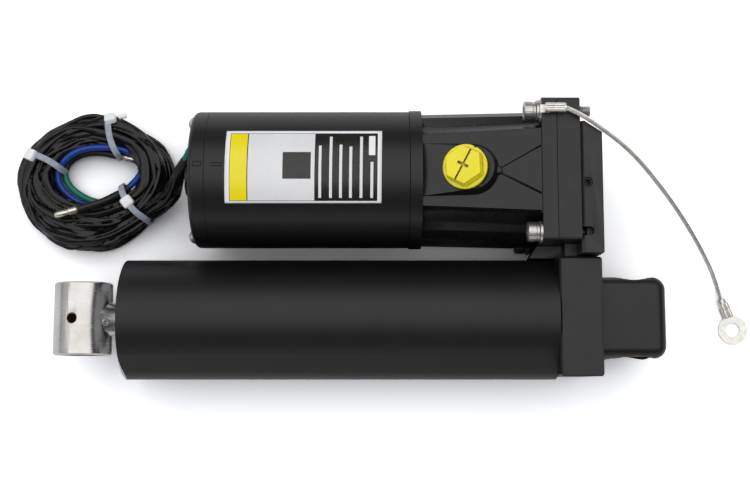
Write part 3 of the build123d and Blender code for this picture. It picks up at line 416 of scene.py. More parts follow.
# Pieces that repeat: one mesh is set on a list of points by Geometry Nodes
def makeCopyTree():
    tree = bpy.data.node_groups.new("copiesOnPoints", "GeometryNodeTree")
    tree.is_modifier = True
    tree.interface.new_socket("Geometry", in_out="OUTPUT", socket_type="NodeSocketGeometry")
    wanted = {"Geometry": "NodeSocketGeometry", "Copy": "NodeSocketObject", "Size": "NodeSocketFloat",
              "Finish": "NodeSocketMaterial"}
    sockets = {name: tree.interface.new_socket(name, in_out="INPUT", socket_type=kind)
               for name, kind in wanted.items()}
    given = addNode(tree, "NodeGroupInput").outputs
    copy = addNode(tree, "GeometryNodeObjectInfo", {"Object": given["Copy"]}, transform_space="ORIGINAL")
    spread = addNode(tree, "GeometryNodeInstanceOnPoints", {
        "Points": given["Geometry"], "Instance": copy.outputs["Geometry"], "Scale": given["Size"]})
    real = addNode(tree, "GeometryNodeRealizeInstances", {"Geometry": spread.outputs["Instances"]})
    coated = addNode(tree, "GeometryNodeSetMaterial", {
        "Geometry": real.outputs["Geometry"], "Material": given["Finish"]})
    addNode(tree, "NodeGroupOutput", {"Geometry": coated.outputs["Geometry"]})
    return tree, {name: socket.identifier for name, socket in sockets.items()}


copyTree, copyInputs = makeCopyTree()


def copiesAt(name, copyMesh, places, finish, body, replaces):
    points = bpy.data.meshes.new("points")
    points.from_pydata(inMetres(places), [], [])
    copy, host = linked("copy", copyMesh), linked("host", points)
    modifier = host.modifiers.new("copies", "NODES")
    modifier.node_group = copyTree
    modifier[copyInputs["Copy"]] = copy
    modifier[copyInputs["Size"]] = 1.0
    modifier[copyInputs["Finish"]] = material[finish]
    mesh = settled(host).data
    bpy.data.objects.remove(host)
    bpy.data.objects.remove(copy)
    return startPiece(name, mesh, finish, body, replaces)


# Ground strap: tinned strands twisted round a core, a crimped ring at each end
strap = {"radius": 1.25, "diameter": 2.6, "strands": 12, "strandRadius": 0.3, "strandSides": 6,
         "twist": 15.0, "coreRadius": 0.83, "coreSides": 10, "step": 0.7, "length": 0.164, "edge": 0.25,
         "route": [(-39.5, 110.7, 42.8), (-34.6, 108.6, 43.4), (-23.2, 101.6, 42.4), (-3.0, 88.6, 34.5),
                   (19.5, 68.0, 17.0), (37.5, 49.5, -1.5), (51.5, 32.0, -17.5), (58.4, 21.9, -28.6),
                   (61.515, 13.185, -30.6)]}
strapLine = routeLine(inMetres(strap["route"]), strap["step"] * mm)


def makeStrap():
    axes = axesAlong(strapLine)
    tubes = [[ringRound(point, side, up, strap["coreRadius"], strap["coreSides"])
              for point, (_, side, up) in zip(strapLine, axes)]]
    reach = (strap["radius"] - strap["strandRadius"]) * mm
    for strand in range(strap["strands"]):
        rings = []
        for step, (point, (_, side, up)) in enumerate(zip(strapLine, axes)):
            angle = 2 * pi * (strand / strap["strands"] + step * strap["step"] / strap["twist"])
            out = side * cos(angle) + up * sin(angle)
            across = up * cos(angle) - side * sin(angle)
            rings.append(ringRound(point + out * reach, out, across, strap["strandRadius"],
                                   strap["strandSides"]))
        tubes.append(rings)
    return startPiece("strap_strands", skinned(tubes, fineWeld), "tinnedCopper", "unit", ("strap_cable",),
                      sharp=60)


strapPiece = makeStrap()
farTerminal = dressNode("strap_far_terminal", "tinnedCopper", strap["edge"])
print("strap", round(lengthOf(strapLine), 4))

# Harness: one sleeved lead that leaves the motor and is wound into the coil
harness = {"leadRadius": 3.0, "halfWide": 5.3, "halfHigh": 4.3, "sides": 48, "step": 0.8, "lowest": -32.9,
           "lead": [(-243.5, 92.0, 12.0), (-248.4, 88.0, 9.4), (-253.0, 82.4, 3.0), (-257.4, 76.6, -6.0),
                    (-261.8, 71.0, -13.0)],
           # the coil's outer edge, at even angles round it, and the oval hole that it leaves
           "outer": [(-258.8, 84.0), (-262.0, 101.8), (-274.5, 114.0), (-290.5, 122.0), (-305.0, 123.9),
                     (-320.5, 118.5), (-335.0, 109.5), (-346.0, 98.0), (-351.5, 84.0), (-349.0, 70.0),
                     (-341.5, 57.5), (-327.0, 45.2), (-305.0, 40.0), (-288.0, 46.5), (-273.0, 59.5),
                     (-263.0, 72.5)],
           "holeCentre": (-304.6, 85.2), "holeHalf": (25.6, 17.4), "openSide": -1.4, "openAt": 160,
           # each turn: how far it lies from the outer edge (or, if negative, from the hole), and its height
           "turns": [(4.4, -18.6), (-11.5, -19.2), (-5.5, -18.6), (-5.8, -28.0), (4.6, -28.2),
                     (-9.0, -26.0)],
           "start": -20.0, "turnPoints": 16, "crossOver": 0.55,
           # how far the turns wander, with the beat and the shift of the wave, sideways and in height
           "sway": (0.7, 1.7, 2.1), "bob": (0.3, 2.3, 1.3)}


def coilPlace(angle, inset):
    table = harness["outer"]
    at = (angle / 360 * len(table)) % len(table)
    i = int(at)
    outer = Vector(table[i]).lerp(Vector(table[(i + 1) % len(table)]), at - i)
    x, y = harness["holeCentre"]
    wide, high = harness["holeHalf"]
    inner = Vector((x + wide * cos(radians(angle)), y + high * sin(radians(angle))))
    way = (inner - outer).normalized()
    if inset >= 0:
        return outer + way * inset
    return inner + way * (inset + harness["openSide"] * cos(radians(angle + harness["openAt"])))


def coilRoute():
    points = list(harness["lead"])
    count, turns, crossOver = harness["turnPoints"], harness["turns"], harness["crossOver"]
    for i in range(1, (len(turns) - 1) * count):
        turn = i // count
        (inset, level), (nextInset, nextLevel) = turns[turn], turns[turn + 1]
        blend = max(0.0, (i / count - turn - crossOver) / (1 - crossOver))
        blend = blend * blend * (3 - 2 * blend)
        angle = (harness["start"] - 360 * i / count) % 360
        place = coilPlace(angle, inset).lerp(coilPlace(angle, nextInset), blend)
        away = (place - Vector(harness["holeCentre"])).normalized()
        sway, bob = [reach * sin(beat * i + shift * turn)
                     for reach, beat, shift in (harness["sway"], harness["bob"])]
        place += away * sway
        points.append((place.x, place.y, level * (1 - blend) + nextLevel * blend + bob))
    return points


harnessLine = routeLine(inMetres(coilRoute()), harness["step"] * mm)

# The sleeve is a soft flat tube of vinyl round two wires: broad folds run with it, with a few sharp
# valleys between them, and slanting wrinkles show where the vinyl is pushed together. round is how
# fast a pattern changes round the sleeve, pitch how many millimetres it takes along it.
folds = {"broad": {"round": 1.25, "shift": 0, "pitch": 46.0, "height": 2.7},
         "valley": {"round": 1.2, "shift": 5, "pitch": 34.0, "height": 1.2, "narrow": 4.5, "sharp": 1.3},
         "slant": {"round": 2.0, "shift": 9, "pitch": 11.0, "height": 1.6, "lean": 6.6},
         "pushPitch": 38.0, "turnPitch": 50.0, "turn": 0.9, "swellFrom": 8.0, "swellOver": 26.0}


def foldAt(fold, angle, along):
    return noise.noise(Vector((fold["round"] * cos(angle) + fold["shift"], fold["round"] * sin(angle),
                               along / fold["pitch"])))


def makeSleeve():
    broad, valley, slant = folds["broad"], folds["valley"], folds["slant"]
    thin = harness["leadRadius"]
    rings = []
    for step, (point, (tangent, _, _)) in enumerate(zip(harnessLine, axesAlong(harnessLine))):
        along = step * harness["step"]
        side = tangent.cross(Vector((0, 0, 1))).normalized()
        up = side.cross(tangent)
        swell = min(1.0, max(0.0, (along - folds["swellFrom"]) / folds["swellOver"]))
        wide, high = [thin + (harness[half] - thin) * swell for half in ("halfWide", "halfHigh")]
        push = 0.5 + 0.5 * noise.noise(Vector((0.0, 3.0, along / folds["pushPitch"])))
        turn = folds["turn"] * noise.noise(Vector((7.0, 0.0, along / folds["turnPitch"])))
        ring = []
        for i in range(harness["sides"]):
            angle = 2 * pi * i / harness["sides"]
            ridge = broad["height"] * foldAt(broad, angle + turn, along)
            narrowed = max(0.0, 1 - valley["narrow"] * abs(foldAt(valley, angle + turn, along)))
            dip = valley["height"] * narrowed ** valley["sharp"]
            leant = along + slant["lean"] * cos(angle)
            wrinkle = slant["height"] * foldAt(slant, angle + turn, leant) * push
            lift = (ridge - dip + wrinkle) * swell
            spot = point + side * cos(angle) * (wide + lift) * mm + up * sin(angle) * (high + lift) * mm
            spot.z = max(spot.z, harness["lowest"] * mm)
            ring.append(spot)
        rings.append(ring)
    return startPiece("harness_sleeve", skinned([rings], fineWeld), "vinylSleeve", "unit",
                      ("harness_coil", "harness_lead"), sharp=80)


sleevePiece = makeSleeve()
print("sleeve", round(lengthOf(harnessLine), 4))

# The two wires come out of the sleeve, run round the hole and end in bullets. A bullet's foot goes by
# millimetres along it, and the rest of its outline by shares of its length.
wires = {
    "blue": {"finish": "bluePvc", "radius": 1.85, "shrinkFrom": 33.0, "shrinkRadius": 2.15, "tip": 15.0,
             "points": [(-309.6, 66.9, -28.2), (-314.7, 69.6, -26.6), (-320.9, 73.0, -24.8),
                        (-325.6, 77.8, -23.2), (-328.0, 83.4, -22.0), (-327.0, 89.9, -20.5),
                        (-322.9, 95.2, -19.0), (-316.1, 99.6, -18.2), (-308.1, 101.6, -18.0),
                        (-296.7, 101.8, -18.4), (-288.9, 100.4, -19.6), (-281.6, 97.4, -21.4),
                        (-278.2, 91.8, -21.8), (-279.2, 84.8, -19.6), (-285.7, 76.6, -16.2),
                        (-291.4, 72.6, -13.6), (-296.6, 69.4, -11.6), (-303.8, 66.4, -10.9),
                        (-313.6, 63.7, -10.9)]},
    "green": {"finish": "greenPvc", "radius": 2.0, "shrinkFrom": 41.0, "shrinkRadius": 2.2, "tip": 9.0,
              "points": [(-302.9, 70.2, -28.0), (-308.1, 71.0, -27.8), (-314.2, 73.7, -27.4),
                         (-319.8, 77.6, -26.6), (-323.6, 82.2, -26.2), (-325.2, 88.0, -26.0),
                         (-323.4, 93.6, -25.8), (-317.6, 98.2, -25.4), (-309.6, 100.0, -24.6),
                         (-300.4, 99.6, -23.9), (-289.3, 96.8, -24.0)]}}
wireStep = 0.8
shrinkWave = {"depth": 0.18, "beat": 0.11, "sides": 20}
bullet = {"sink": 2.0, "foot": [(0.0, 1.2), (0.0, 2.0), (1.2, 2.2)],
          "outline": [(0.42, 2.2), (0.45, 1.75), (0.52, 1.75), (0.55, 2.0), (0.86, 2.0), (0.9, 1.7),
                      (0.97, 1.5), (1.0, 0.9)]}


def makeCord(name, points, radius, finish):
    cord = linked(name, routeCurve(name, points, radius * mm))
    cord.data.materials.append(material[finish])
    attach(cord, "unit")
    return cord


def makeWire(colour, look):
    points = inMetres(look["points"])
    wire = makeCord(f"{colour}_wire", points, look["radius"], look["finish"])
    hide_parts(f"wire_{colour}")
    line = routeLine(points, wireStep * mm)
    covered = [p for i, p in enumerate(line) if (len(line) - 1 - i) * wireStep <= look["shrinkFrom"]]
    rings = []
    for i, (point, (_, side, up)) in enumerate(zip(covered, axesAlong(covered))):
        wave = noise.noise(Vector((i * shrinkWave["beat"], look["radius"], 0.0)))
        radius = look["shrinkRadius"] + shrinkWave["depth"] * wave
        rings.append(ringRound(point, side, up, radius, shrinkWave["sides"]))
    shrink = startPiece(f"heat_shrink_{colour}", skinned([rings], fineWeld), "heatShrink", "unit", (),
                        sharp=50)
    direction = (line[-1] - line[-4]).normalized()
    direction.z = 0.0
    direction.normalize()
    outline = bullet["foot"] + [(look["tip"] * share, radius) for share, radius in bullet["outline"]]
    rings = turnedAlong(line[-1] - direction * bullet["sink"] * mm, direction, outline)
    end = startPiece(f"bullet_{colour}", skinned([rings]), "nickelPlate", "unit", (), sharp=40)
    return wire, shrink, end, line


wirePieces = {colour: makeWire(colour, look) for colour, look in wires.items()}
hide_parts("bullet_terminals")
for colour, (wire, shrink, end, line) in wirePieces.items():
    print(colour, "wire", round(lengthOf(line), 4))

# A short length of the green wire shows between the grommet and the sleeve
tail = {"radius": 1.7,
        "points": [(-236.6, 94.0, 12.6), (-242.6, 95.0, 14.6), (-245.0, 93.6, 14.8), (-246.6, 91.0, 13.4),
                   (-248.2, 87.8, 10.0), (-251.8, 83.0, 4.4), (-255.8, 78.4, -2.6)]}
tailPoints = inMetres(tail["points"])
tailPiece = makeCord("green_wire_tail", tailPoints, tail["radius"], "greenPvc")
tailLine = routeLine(tailPoints, wireStep * mm)
print("cords ready")

# Cable ties: a toothed band round the turns and its square head, with the cut tail where it shows.
# square makes the loop's corners: 1 is an oval, and less is nearer to a box.
ties = {"width": 3.6, "thickness": 1.1, "top": -12.6, "floor": -33.0, "head": (6.3, 6.8, 4.4),
        "headRound": 1.3, "tail": (3.2, 5.4, 2.6), "tailRound": 1.2, "blockCuts": 7, "tooth": 0.22,
        "links": 132, "innerEdge": (0.25, 0.15), "outerEdge": (0.3, 0.2), "square": 0.62,
        "places": [{"inner": (-291.4, 95.4), "outer": (-297.3, 122.6), "head": (-296.1, 118.0, -13.6),
                    "lean": 34, "bow": 2.2, "tail": (-289.4, 119.6, -15.4)},
                   {"inner": (-323.4, 87.6), "outer": (-346.8, 98.4), "head": (-341.8, 96.4, -13.8),
                    "lean": 26, "bow": -1.6},
                   {"inner": (-289.6, 79.6), "outer": (-272.8, 57.4), "head": (-284.6, 68.4, -11.0),
                    "lean": 4, "bow": -2.8, "top": -9.6}]}


def tieLoop(place):
    inner, outer = Vector(place["inner"]), Vector(place["outer"])
    along = (outer - inner).normalized()
    across = Vector((-along.y, along.x))
    reach = (outer - inner).length
    top, floor = place.get("top", ties["top"]), ties["floor"]
    loop = []
    for i in range(ties["links"]):
        angle = 2 * pi * i / ties["links"]
        c, s = cos(angle), sin(angle)
        u = (abs(c) ** ties["square"]) * (1 if c > 0 else -1) * reach / 2
        v = (abs(s) ** ties["square"]) * (1 if s > 0 else -1) * (top - floor) / 2
        bow = place["bow"] * (1 - (2 * u / reach) ** 2) * (0.5 + 0.5 * s)
        flat = (inner + outer) / 2 + along * u + across * bow
        loop.append(Vector((flat.x, flat.y, (top + floor) / 2 + v)))
    return loop, along, across


def roundedBlock(shape, centre, turn, size, radius):
    block = bmesh.new()
    bmesh.ops.create_cube(block, size=2.0)
    bmesh.ops.subdivide_edges(block, edges=block.edges, cuts=ties["blockCuts"], use_grid_fill=True)
    core = [extent / 2 - radius for extent in size]
    made = {}
    for vertex in block.verts:
        reach = Vector([vertex.co[i] * size[i] / 2 for i in range(3)])
        kept = Vector([max(-core[i], min(core[i], reach[i])) for i in range(3)])
        out = (reach - kept).normalized() * radius
        made[vertex] = shape.verts.new((centre + turn @ (kept + out)) * mm)
    for face in block.faces:
        shape.faces.new([made[vertex] for vertex in face.verts])
    block.free()


# The section of a band: across it, and up from its inner side
def bandSection(thick):
    half = ties["width"] / 2
    (innerIn, innerUp), (outerIn, outerUp) = ties["innerEdge"], ties["outerEdge"]
    right = [(half - innerIn, 0.0), (half, innerUp), (half, thick - outerUp), (half - outerIn, thick)]
    left = [(-u, v) for u, v in right[::-1]]
    return left[-2:] + right + left[:-2]


def makeTies():
    band, heads = bmesh.new(), bmesh.new()
    for place in ties["places"]:
        loop, along, across = tieLoop(place)
        count = len(loop)
        middle = (loop[0] + loop[count // 2]) / 2
        rings = []
        for i, point in enumerate(loop):
            tangent = (loop[(i + 1) % count] - loop[i - 1]).normalized()
            wide = Vector((across.x, across.y, 0.0))
            wide = (wide - tangent * wide.dot(tangent)).normalized()
            out = wide.cross(tangent)
            if out.dot(point - middle) <= 0:
                out = -out
            thick = ties["thickness"] + (ties["tooth"] if i % 4 < 2 else 0.0)
            rings.append([(point + wide * u + out * (v - thick)) * mm for u, v in bandSection(thick)])
        skinRings(band, rings, True)
        turn = Matrix.Rotation(atan2(along.y, along.x), 4, "Z")
        turn = turn @ Matrix.Rotation(radians(place["lean"]), 4, "Y")
        for end in ("head", "tail"):
            if end in place:
                roundedBlock(heads, Vector(place[end]), turn, ties[end], ties[f"{end}Round"])
    startPiece("tie_bands", meshFrom(band), "nylonBand", "unit", ("cable_ties",), sharp=40)
    startPiece("tie_heads", meshFrom(heads), "naturalNylon", "unit", (), sharp=45)


makeTies()
print("ties ready")

# The reservoir's top rises towards its end flange. A nub stands on it, and the rib from the nub to the
# flange has a groove along both sides, narrower at the nub.
plateau = {"x": -116.2, "z": 38.6, "rise": 3.2, "over": 64.0}
creases = {"runs": [((-74.6, 78.4), (-52.3, 91.0)), ((-74.6, 75.4), (-52.3, 64.0))], "width": 1.3,
           "narrowing": 0.7, "depth": 1.4, "above": 0.6, "clear": 2.0}
nub = {"at": (-76.3, 76.9), "sunk": 1.2, "sides": 40,
       "outline": [(0.0, 2.5), (2.7, 2.5), (3.4, 2.15), (3.8, 1.25), (3.9, 0.1)]}


def plateauTop(x):
    return plateau["z"] + plateau["rise"] * (x - plateau["x"]) / plateau["over"]


def makeCreaseCutters():
    above, clear = creases["above"], creases["clear"]
    cutters = []
    for start, end in creases["runs"]:
        along = (Vector(end) - Vector(start)).normalized()
        across = Vector((-along.y, along.x))
        rings = []
        for (x, y), share in ((start, creases["narrowing"]), (end, 1.0)):
            z = plateauTop(x)
            half = creases["width"] / 2 * share
            profile = [(-half, clear), (-half, above), (0.0, above - creases["depth"]), (half, above),
                       (half, clear)]
            rings.append([Vector((x + across.x * u, y + across.y * u, z + v)) * mm for u, v in profile])
        cutters.append(skinned([rings]))
    return cutters


# Each dressed node: its finish, and the radius of its edges
dressed = {
    "cylinder_barrel": ("hardAnodisedAluminium", 0.3), "cylinder_base": ("coatedAluminium", 0.35),
    "lug_bush": ("sinteredBronze", 0.2), "gland_cap": ("machinedAluminium", 0.3),
    "rod_wiper": ("nitrileRubber", 0.2), "ram_rod": ("groundChrome", 0.2),
    "rod_eye": ("turnedStainless", 0.15), "eye_bush": ("sinteredBronze", 0.2),
    "motor_housing": ("bakedEnamel", 0.4), "motor_end_cap": ("bakedEnamel", 0.4),
    "wire_grommet": ("nitrileRubber", 0.4), "front_bell": ("bakedEnamel", 0.3),
    "through_bolts": ("tumbledStainless", 0.15), "reservoir": ("mouldedNylonBlack", 0.5),
    "fill_cap": ("yellowNylon", 0.25), "cap_seal": ("nitrileRubber", 0.1),
    "pump_body": ("coatedAluminium", 0.3), "flat_washers": ("tumbledStainless", 0.3),
    "valve_body": ("coatedAluminium", 0.3), "release_screw": ("blackOxide", 0.15),
    "valve_plug": ("machinedSteel", 0.15), "strap_near_terminal": ("tinnedCopper", 0.2)}
for node, (finish, radius) in dressed.items():
    dressNode(node, finish, radius, makeCreaseCutters() if node == "reservoir" else ())
print("dressed nodes:", len(dressed))

# The end of the cylinder is turned after anodising: where the cut runs out over the shoulder, bare
# aluminium shows
runOut = {"from": 33.05, "facing": -0.5}
barrelMesh = bpy.data.objects["cylinder_barrel_finished"].data
barrelMesh.materials.append(material["machinedAluminium"])
for face in barrelMesh.polygons:
    if face.normal.x < runOut["facing"] and face.center.yz.length > runOut["from"] * mm:
        face.material_index = 1

# A small cup pin locks the eye on the rod: it sits in the neck. Its outline is the height over its foot
# and the radius, up its side and down into the cup.
pin = {"at": (-290.2, -2.2, 9.67), "out": (0.381, -0.206, 0.901), "sunk": 1.2, "sides": 40,
       "outline": [(0.0, 1.95), (1.35, 1.95), (1.55, 1.7), (1.55, 1.25), (1.4, 1.1), (0.55, 1.0),
                   (0.55, 0.05)]}


def makePin():
    out = Vector(pin["out"]).normalized()
    foot = (Vector(pin["at"]) - out * pin["sunk"]) * mm
    rings = turnedAlong(foot, out, pin["outline"], pin["sides"])
    return startPiece("neck_pin", skinned([rings]), "tumbledStainless", "ram", ())


makePin()

# Nodes that stay as the frame has them, in their finishes
inside = {
    "nitrileRubber": ["base_o_ring", "gland_o_ring", "rod_seal", "memory_o_ring", "piston_ring"],
    "machinedSteel": ["ram_piston", "piston_nut", "relief_balls", "armature_core", "motor_shaft",
                      "drive_coupling", "drive_gear", "driven_gear", "gear_pin", "shuttle_spool",
                      "check_poppet_rear", "check_poppet_front"],
    "machinedAluminium": ["memory_piston", "pump_cover"],
    "sinteredBronze": ["rear_bearing", "front_bearing"],
    "sinteredFerrite": ["field_magnets"], "enamelledCopper": ["armature_windings", "commutator"],
    "pressedCarbon": ["carbon_brushes"], "phenolicBoard": ["brush_holder"],
    "gasketSheet": ["reservoir_seal", "transfer_seal"]}
for finish, nodes in inside.items():
    for node in nodes:
        coats = frame["nodes"][node].data.materials
        coats.clear()
        coats.append(material[finish])
print("inside nodes:", sum(len(nodes) for nodes in inside.values()))

# Socket screws through the stack of plates: knurled heads, and threads where they come out
screws = {"headRadius": 5.35, "headLength": 4.9, "faceRadius": 4.65, "chamfer": 0.5, "edge": 0.3,
          "knurls": 34, "knurlDepth": 0.07, "knurlsEnd": -0.9, "skirt": -0.6, "socketFlats": 5.0,
          "socketDepth": 3.0, "socketMouth": 3.3, "socketCentre": 0.2, "radius": 2.95, "threadDepth": 0.34,
          "threadStep": 1.0, "threaded": 7.0, "tip": 0.6, "tipRadii": (2.85, 2.25),
          "long": {"length": 31.0, "places": [(-56.4, 110.7, 34.2), (-55.4, 110.7, -22.6)]},
          "short": {"length": 24.6, "places": [(-55.4, 44.9, 34.2), (-55.4, 44.9, -22.6)]}}
washers = {"outer": 5.2, "inner": 3.05, "thick": 1.5, "gap": 16.0, "spring": 0.35, "edge": 0.2, "links": 60}


# The head lies before x = 0, where the washer sits, and the shank after it. Each ring has a place
# along x and a radius, or one radius for each of its corners.
def makeScrew(length):
    count = screws["knurls"] * 4
    head, shank, edge = screws["headRadius"], screws["radius"], screws["edge"]
    face = -screws["headLength"]
    socketFloor, shoulder = face + screws["socketDepth"], face + screws["chamfer"]
    low = head - screws["knurlDepth"]
    hexagon = [screws["socketFlats"] / 2 / cos((2 * pi * i / count + pi / 6) % (pi / 3) - pi / 6)
               for i in range(count)]
    knurled = [low if i % 4 < 2 else head for i in range(count)]
    profile = [(socketFloor, screws["socketCentre"]), (socketFloor, hexagon), (face + edge, hexagon),
               (face, screws["socketMouth"]), (face, screws["faceRadius"]), (shoulder, low),
               (shoulder + edge, knurled), (screws["knurlsEnd"], knurled), (screws["skirt"], low),
               (0.0, head - edge), (0.0, shank)]
    x = length - screws["threaded"]
    while x < length - screws["tip"]:
        profile += [(x, shank), (x + screws["threadStep"] / 2, shank - screws["threadDepth"])]
        x += screws["threadStep"]
    profile += zip((length - edge, length), screws["tipRadii"])
    rings = []
    for x, radii in profile:
        radii = radii if isinstance(radii, list) else [radii] * count
        rings.append([Vector((x, r * cos(2 * pi * i / count), r * sin(2 * pi * i / count))) * mm
                      for i, r in enumerate(radii)])
    return skinned([rings])


# A split spring washer: its ends stand apart along the screw
def makeLockWasher():
    inner, outer, thick, edge = [washers[key] for key in ("inner", "outer", "thick", "edge")]
    section = [(inner, edge), (inner + edge, 0.0), (outer - edge, 0.0), (outer, edge),
               (outer, thick - edge), (outer - edge, thick), (inner + edge, thick), (inner, thick - edge)]
    rings = []
    for i in range(washers["links"] + 1):
        share = i / washers["links"]
        angle = radians(washers["gap"] / 2 + (360 - washers["gap"]) * share)
        shift = washers["spring"] * (share - 0.5)
        rings.append([Vector((along + shift, r * cos(angle), r * sin(angle))) * mm for r, along in section])
    return skinned([rings])


for kind, replaced in (("long", ("stack_screws",)), ("short", ())):
    copiesAt(f"stack_screws_{kind}", makeScrew(screws[kind]["length"]), screws[kind]["places"],
             "tumbledStainless", "unit", replaced)
copiesAt("lock_washers_split", makeLockWasher(), screws["long"]["places"] + screws["short"]["places"],
         "tumbledStainless", "unit", ("lock_washers",))
print("screws and washers ready")

# Crimps of the strap: each barrel is two rolled wings that meet in a seam, with a lip at each end and a
# dent in the middle. The lip goes by millimetres from the end, the dent by shares of the length, and
# both by shares of the roll's radius.
crimps = {"places": [((-50.8, 110.7, 43.2), (-40.0, 110.7, 43.2)),
                     ((62.35, 11.0, -29.6), (65.55, 2.55, -29.6))],
          "roll": 1.3, "apart": 1.22, "above": 1.05, "lip": [(0.0, 0.6), (0.3, 0.93), (0.8, 1.0)],
          "dent": [(0.4, 1.0), (0.5, 0.9), (0.6, 1.0)]}


def makeCrimps():
    tubes = []
    for start, end in crimps["places"]:
        start, end = Vector(start) * mm, Vector(end) * mm
        direction = (end - start).normalized()
        across = direction.cross(Vector((0, 0, 1))).normalized()
        long = (end - start).length / mm
        outline = (crimps["lip"] + [(long * part, share) for part, share in crimps["dent"]]
                   + [(long - along, share) for along, share in crimps["lip"][::-1]])
        for way in (-1, 1):
            shift = (across * way * crimps["apart"] + Vector((0, 0, crimps["above"]))) * mm
            tubes.append(turnedAlong(start + shift, direction,
                                     [(along, crimps["roll"] * share) for along, share in outline]))
    return startPiece("strap_crimps", skinned(tubes, fineWeld), "tinnedCopper", "unit", (),
                      sharp=40)


makeCrimps()

# Thin things on the can are laid out by the distance along it and the arc round it from the top
can = {"y": 77.8, "z": 5.8, "radius": 38.2, "arcStep": 1.2, "step": 6.0}


def canPoint(x, arc, lift):
    angle = arc / can["radius"]
    reach = can["radius"] + lift
    return Vector((x, can["y"] + reach * sin(angle), can["z"] + reach * cos(angle))) * mm


def cutsBetween(places, step):
    places = sorted(set(places))
    cuts = []
    for low, high in zip(places, places[1:]):
        count = max(1, round((high - low) / step))
        cuts += [low + (high - low) * i / count for i in range(count)]
    return cuts + [places[-1]]


# A field is left, right, low and high on the can, and its finish; a later field covers an earlier one
def makeCanSheet(name, fields, lift, thickness, skew=0.0):
    xCuts = cutsBetween([place for field in fields for place in field[:2]], can["step"])
    arcCuts = cutsBetween([place for field in fields for place in field[2:4]], can["arcStep"])
    finishNames = list(dict.fromkeys(field[4] for field in fields))
    lowest, highest = arcCuts[0], arcCuts[-1]
    shape = bmesh.new()
    grid = [[shape.verts.new(canPoint(x - skew * (highest - arc) / (highest - lowest), arc, lift))
             for arc in arcCuts] for x in xCuts]
    for i in range(len(xCuts) - 1):
        for j in range(len(arcCuts) - 1):
            x, arc = (xCuts[i] + xCuts[i + 1]) / 2, (arcCuts[j] + arcCuts[j + 1]) / 2
            under = [field for field in fields if field[0] < x < field[1] and field[2] < arc < field[3]]
            if under:
                face = shape.faces.new((grid[i][j], grid[i + 1][j], grid[i + 1][j + 1], grid[i][j + 1]))
                face.material_index = finishNames.index(under[-1][4])
    bmesh.ops.delete(shape, geom=[v for v in shape.verts if not v.link_faces], context="VERTS")
    mesh = bpy.data.meshes.new(name)
    shape.to_mesh(mesh)
    shape.free()
    for finish in finishNames:
        mesh.materials.append(material[finish])
    piece = startPiece(name, mesh, None, "unit", (), sharp=60)
    wall = piece.modifiers.new("wall", "SOLIDIFY")
    wall.thickness = thickness * mm
    wall.offset = -1.0
    return settled(piece)


# A vinyl sticker with plain coloured fields and ruled lines. A rule is its middle and its high end.
label = {"sheet": (-221.3, -137.9, -18.9, 22.5), "border": (-218.9, -140.1, -17.7, 20.7),
         "yellow": (-218.6, -209.6, -17.4, 20.4), "grey": (-209.1, -173.6, -17.4, 20.4),
         "shade": (-190.6, -175.6, -5.8, 8.8), "ink": (-173.6, -140.4, -17.4, 20.4),
         "rules": [(-170.7, 12.6), (-165.0, 18.4), (-159.7, 13.2), (-154.4, 12.0), (-148.8, 18.4),
                   (-143.1, 3.2)],
         "ruleLow": -16.0, "ruleWidth": 1.5, "block": (-144.8, -141.4, 7.0, 18.8), "lift": 0.16,
         "thick": 0.12, "skew": 0.4}


def makeLabel():
    half = label["ruleWidth"] / 2
    fields = [(*label[field], finish) for field, finish in (
        ("sheet", "filmWhite"), ("border", "filmInk"), ("yellow", "filmYellow"), ("grey", "filmGrey"),
        ("shade", "filmShade"), ("ink", "filmInk"))]
    fields += [(x - half, x + half, label["ruleLow"], high, "filmGrey") for x, high in label["rules"]]
    fields.append((*label["block"], "filmWhite"))
    return makeCanSheet("motor_sticker", fields, label["lift"], label["thick"], label["skew"])


makeLabel()

# Lines scribed on the can and its end cap when the motor was lined up
scribes = {"box": (-238.6, -234.1, 1.0, 3.7), "lines": [(-229.2, -222.5, 1.0), (-229.2, -222.5, 2.6)],
           "width": 0.3, "lift": 0.06, "thick": 0.05}


def makeScribes():
    left, right, low, high = scribes["box"]
    width = scribes["width"]
    fields = [(left, right, low, low + width), (left, right, high - width, high),
              (left, left + width, low, high), (right - width, right, low, high)]
    fields += [(start, end, arc, arc + width) for start, end, arc in scribes["lines"]]
    return makeCanSheet("scribed_marks", [(*field, "scribedLine") for field in fields], scribes["lift"],
                        scribes["thick"])


makeScribes()


def makeNub():
    x, y = nub["at"]
    foot = Vector((x, y, plateauTop(x) - nub["sunk"])) * mm
    rings = turnedAlong(foot, Vector((0, 0, 1)), nub["outline"], nub["sides"])
    return startPiece("reservoir_nub", skinned([rings]), "mouldedNylonBlack", "unit", ())


# The step along the valve body's inner edge is chamfered, and the slot over the screw tip breaks it
chamfer = {"left": -31.55, "right": -29.9, "floor": 37.75, "top": 38.98,
           "runs": [(33.4, 42.5), (47.3, 104.5)]}


def makeChamfer():
    left, right, floor, top = [chamfer[key] for key in ("left", "right", "floor", "top")]
    wedges = [[inMetres([(left, y, floor), (right, y, floor), (right, y, top)]) for y in ends]
              for ends in chamfer["runs"]]
    return startPiece("valve_chamfer", skinned(wedges), "coatedAluminium", "unit", (),
                      sharp=20)


makeNub()
makeChamfer()
print("sticker, marks and ribs ready")

# Floor: flat and pale. The lens and every reflection see it as white, with the shadow kept. In the narrow
# gaps beside the unit it greys, partly by that shadow and partly by painted shade from an ambient-occlusion
# mask. Far from it the floor runs into the white of the room.
ground = {"half": 12.0, "height": -0.0331, "gap": 0.05, "gapRange": (0.12, 0.62), "fade": (0.6, 1.5),
          "bounce": "#e6e6e8", "paint": "#fafafb", "glow": ("#000000", "#dadadc"),
          "mirrored": ("#101011", "#f2f2f3")}


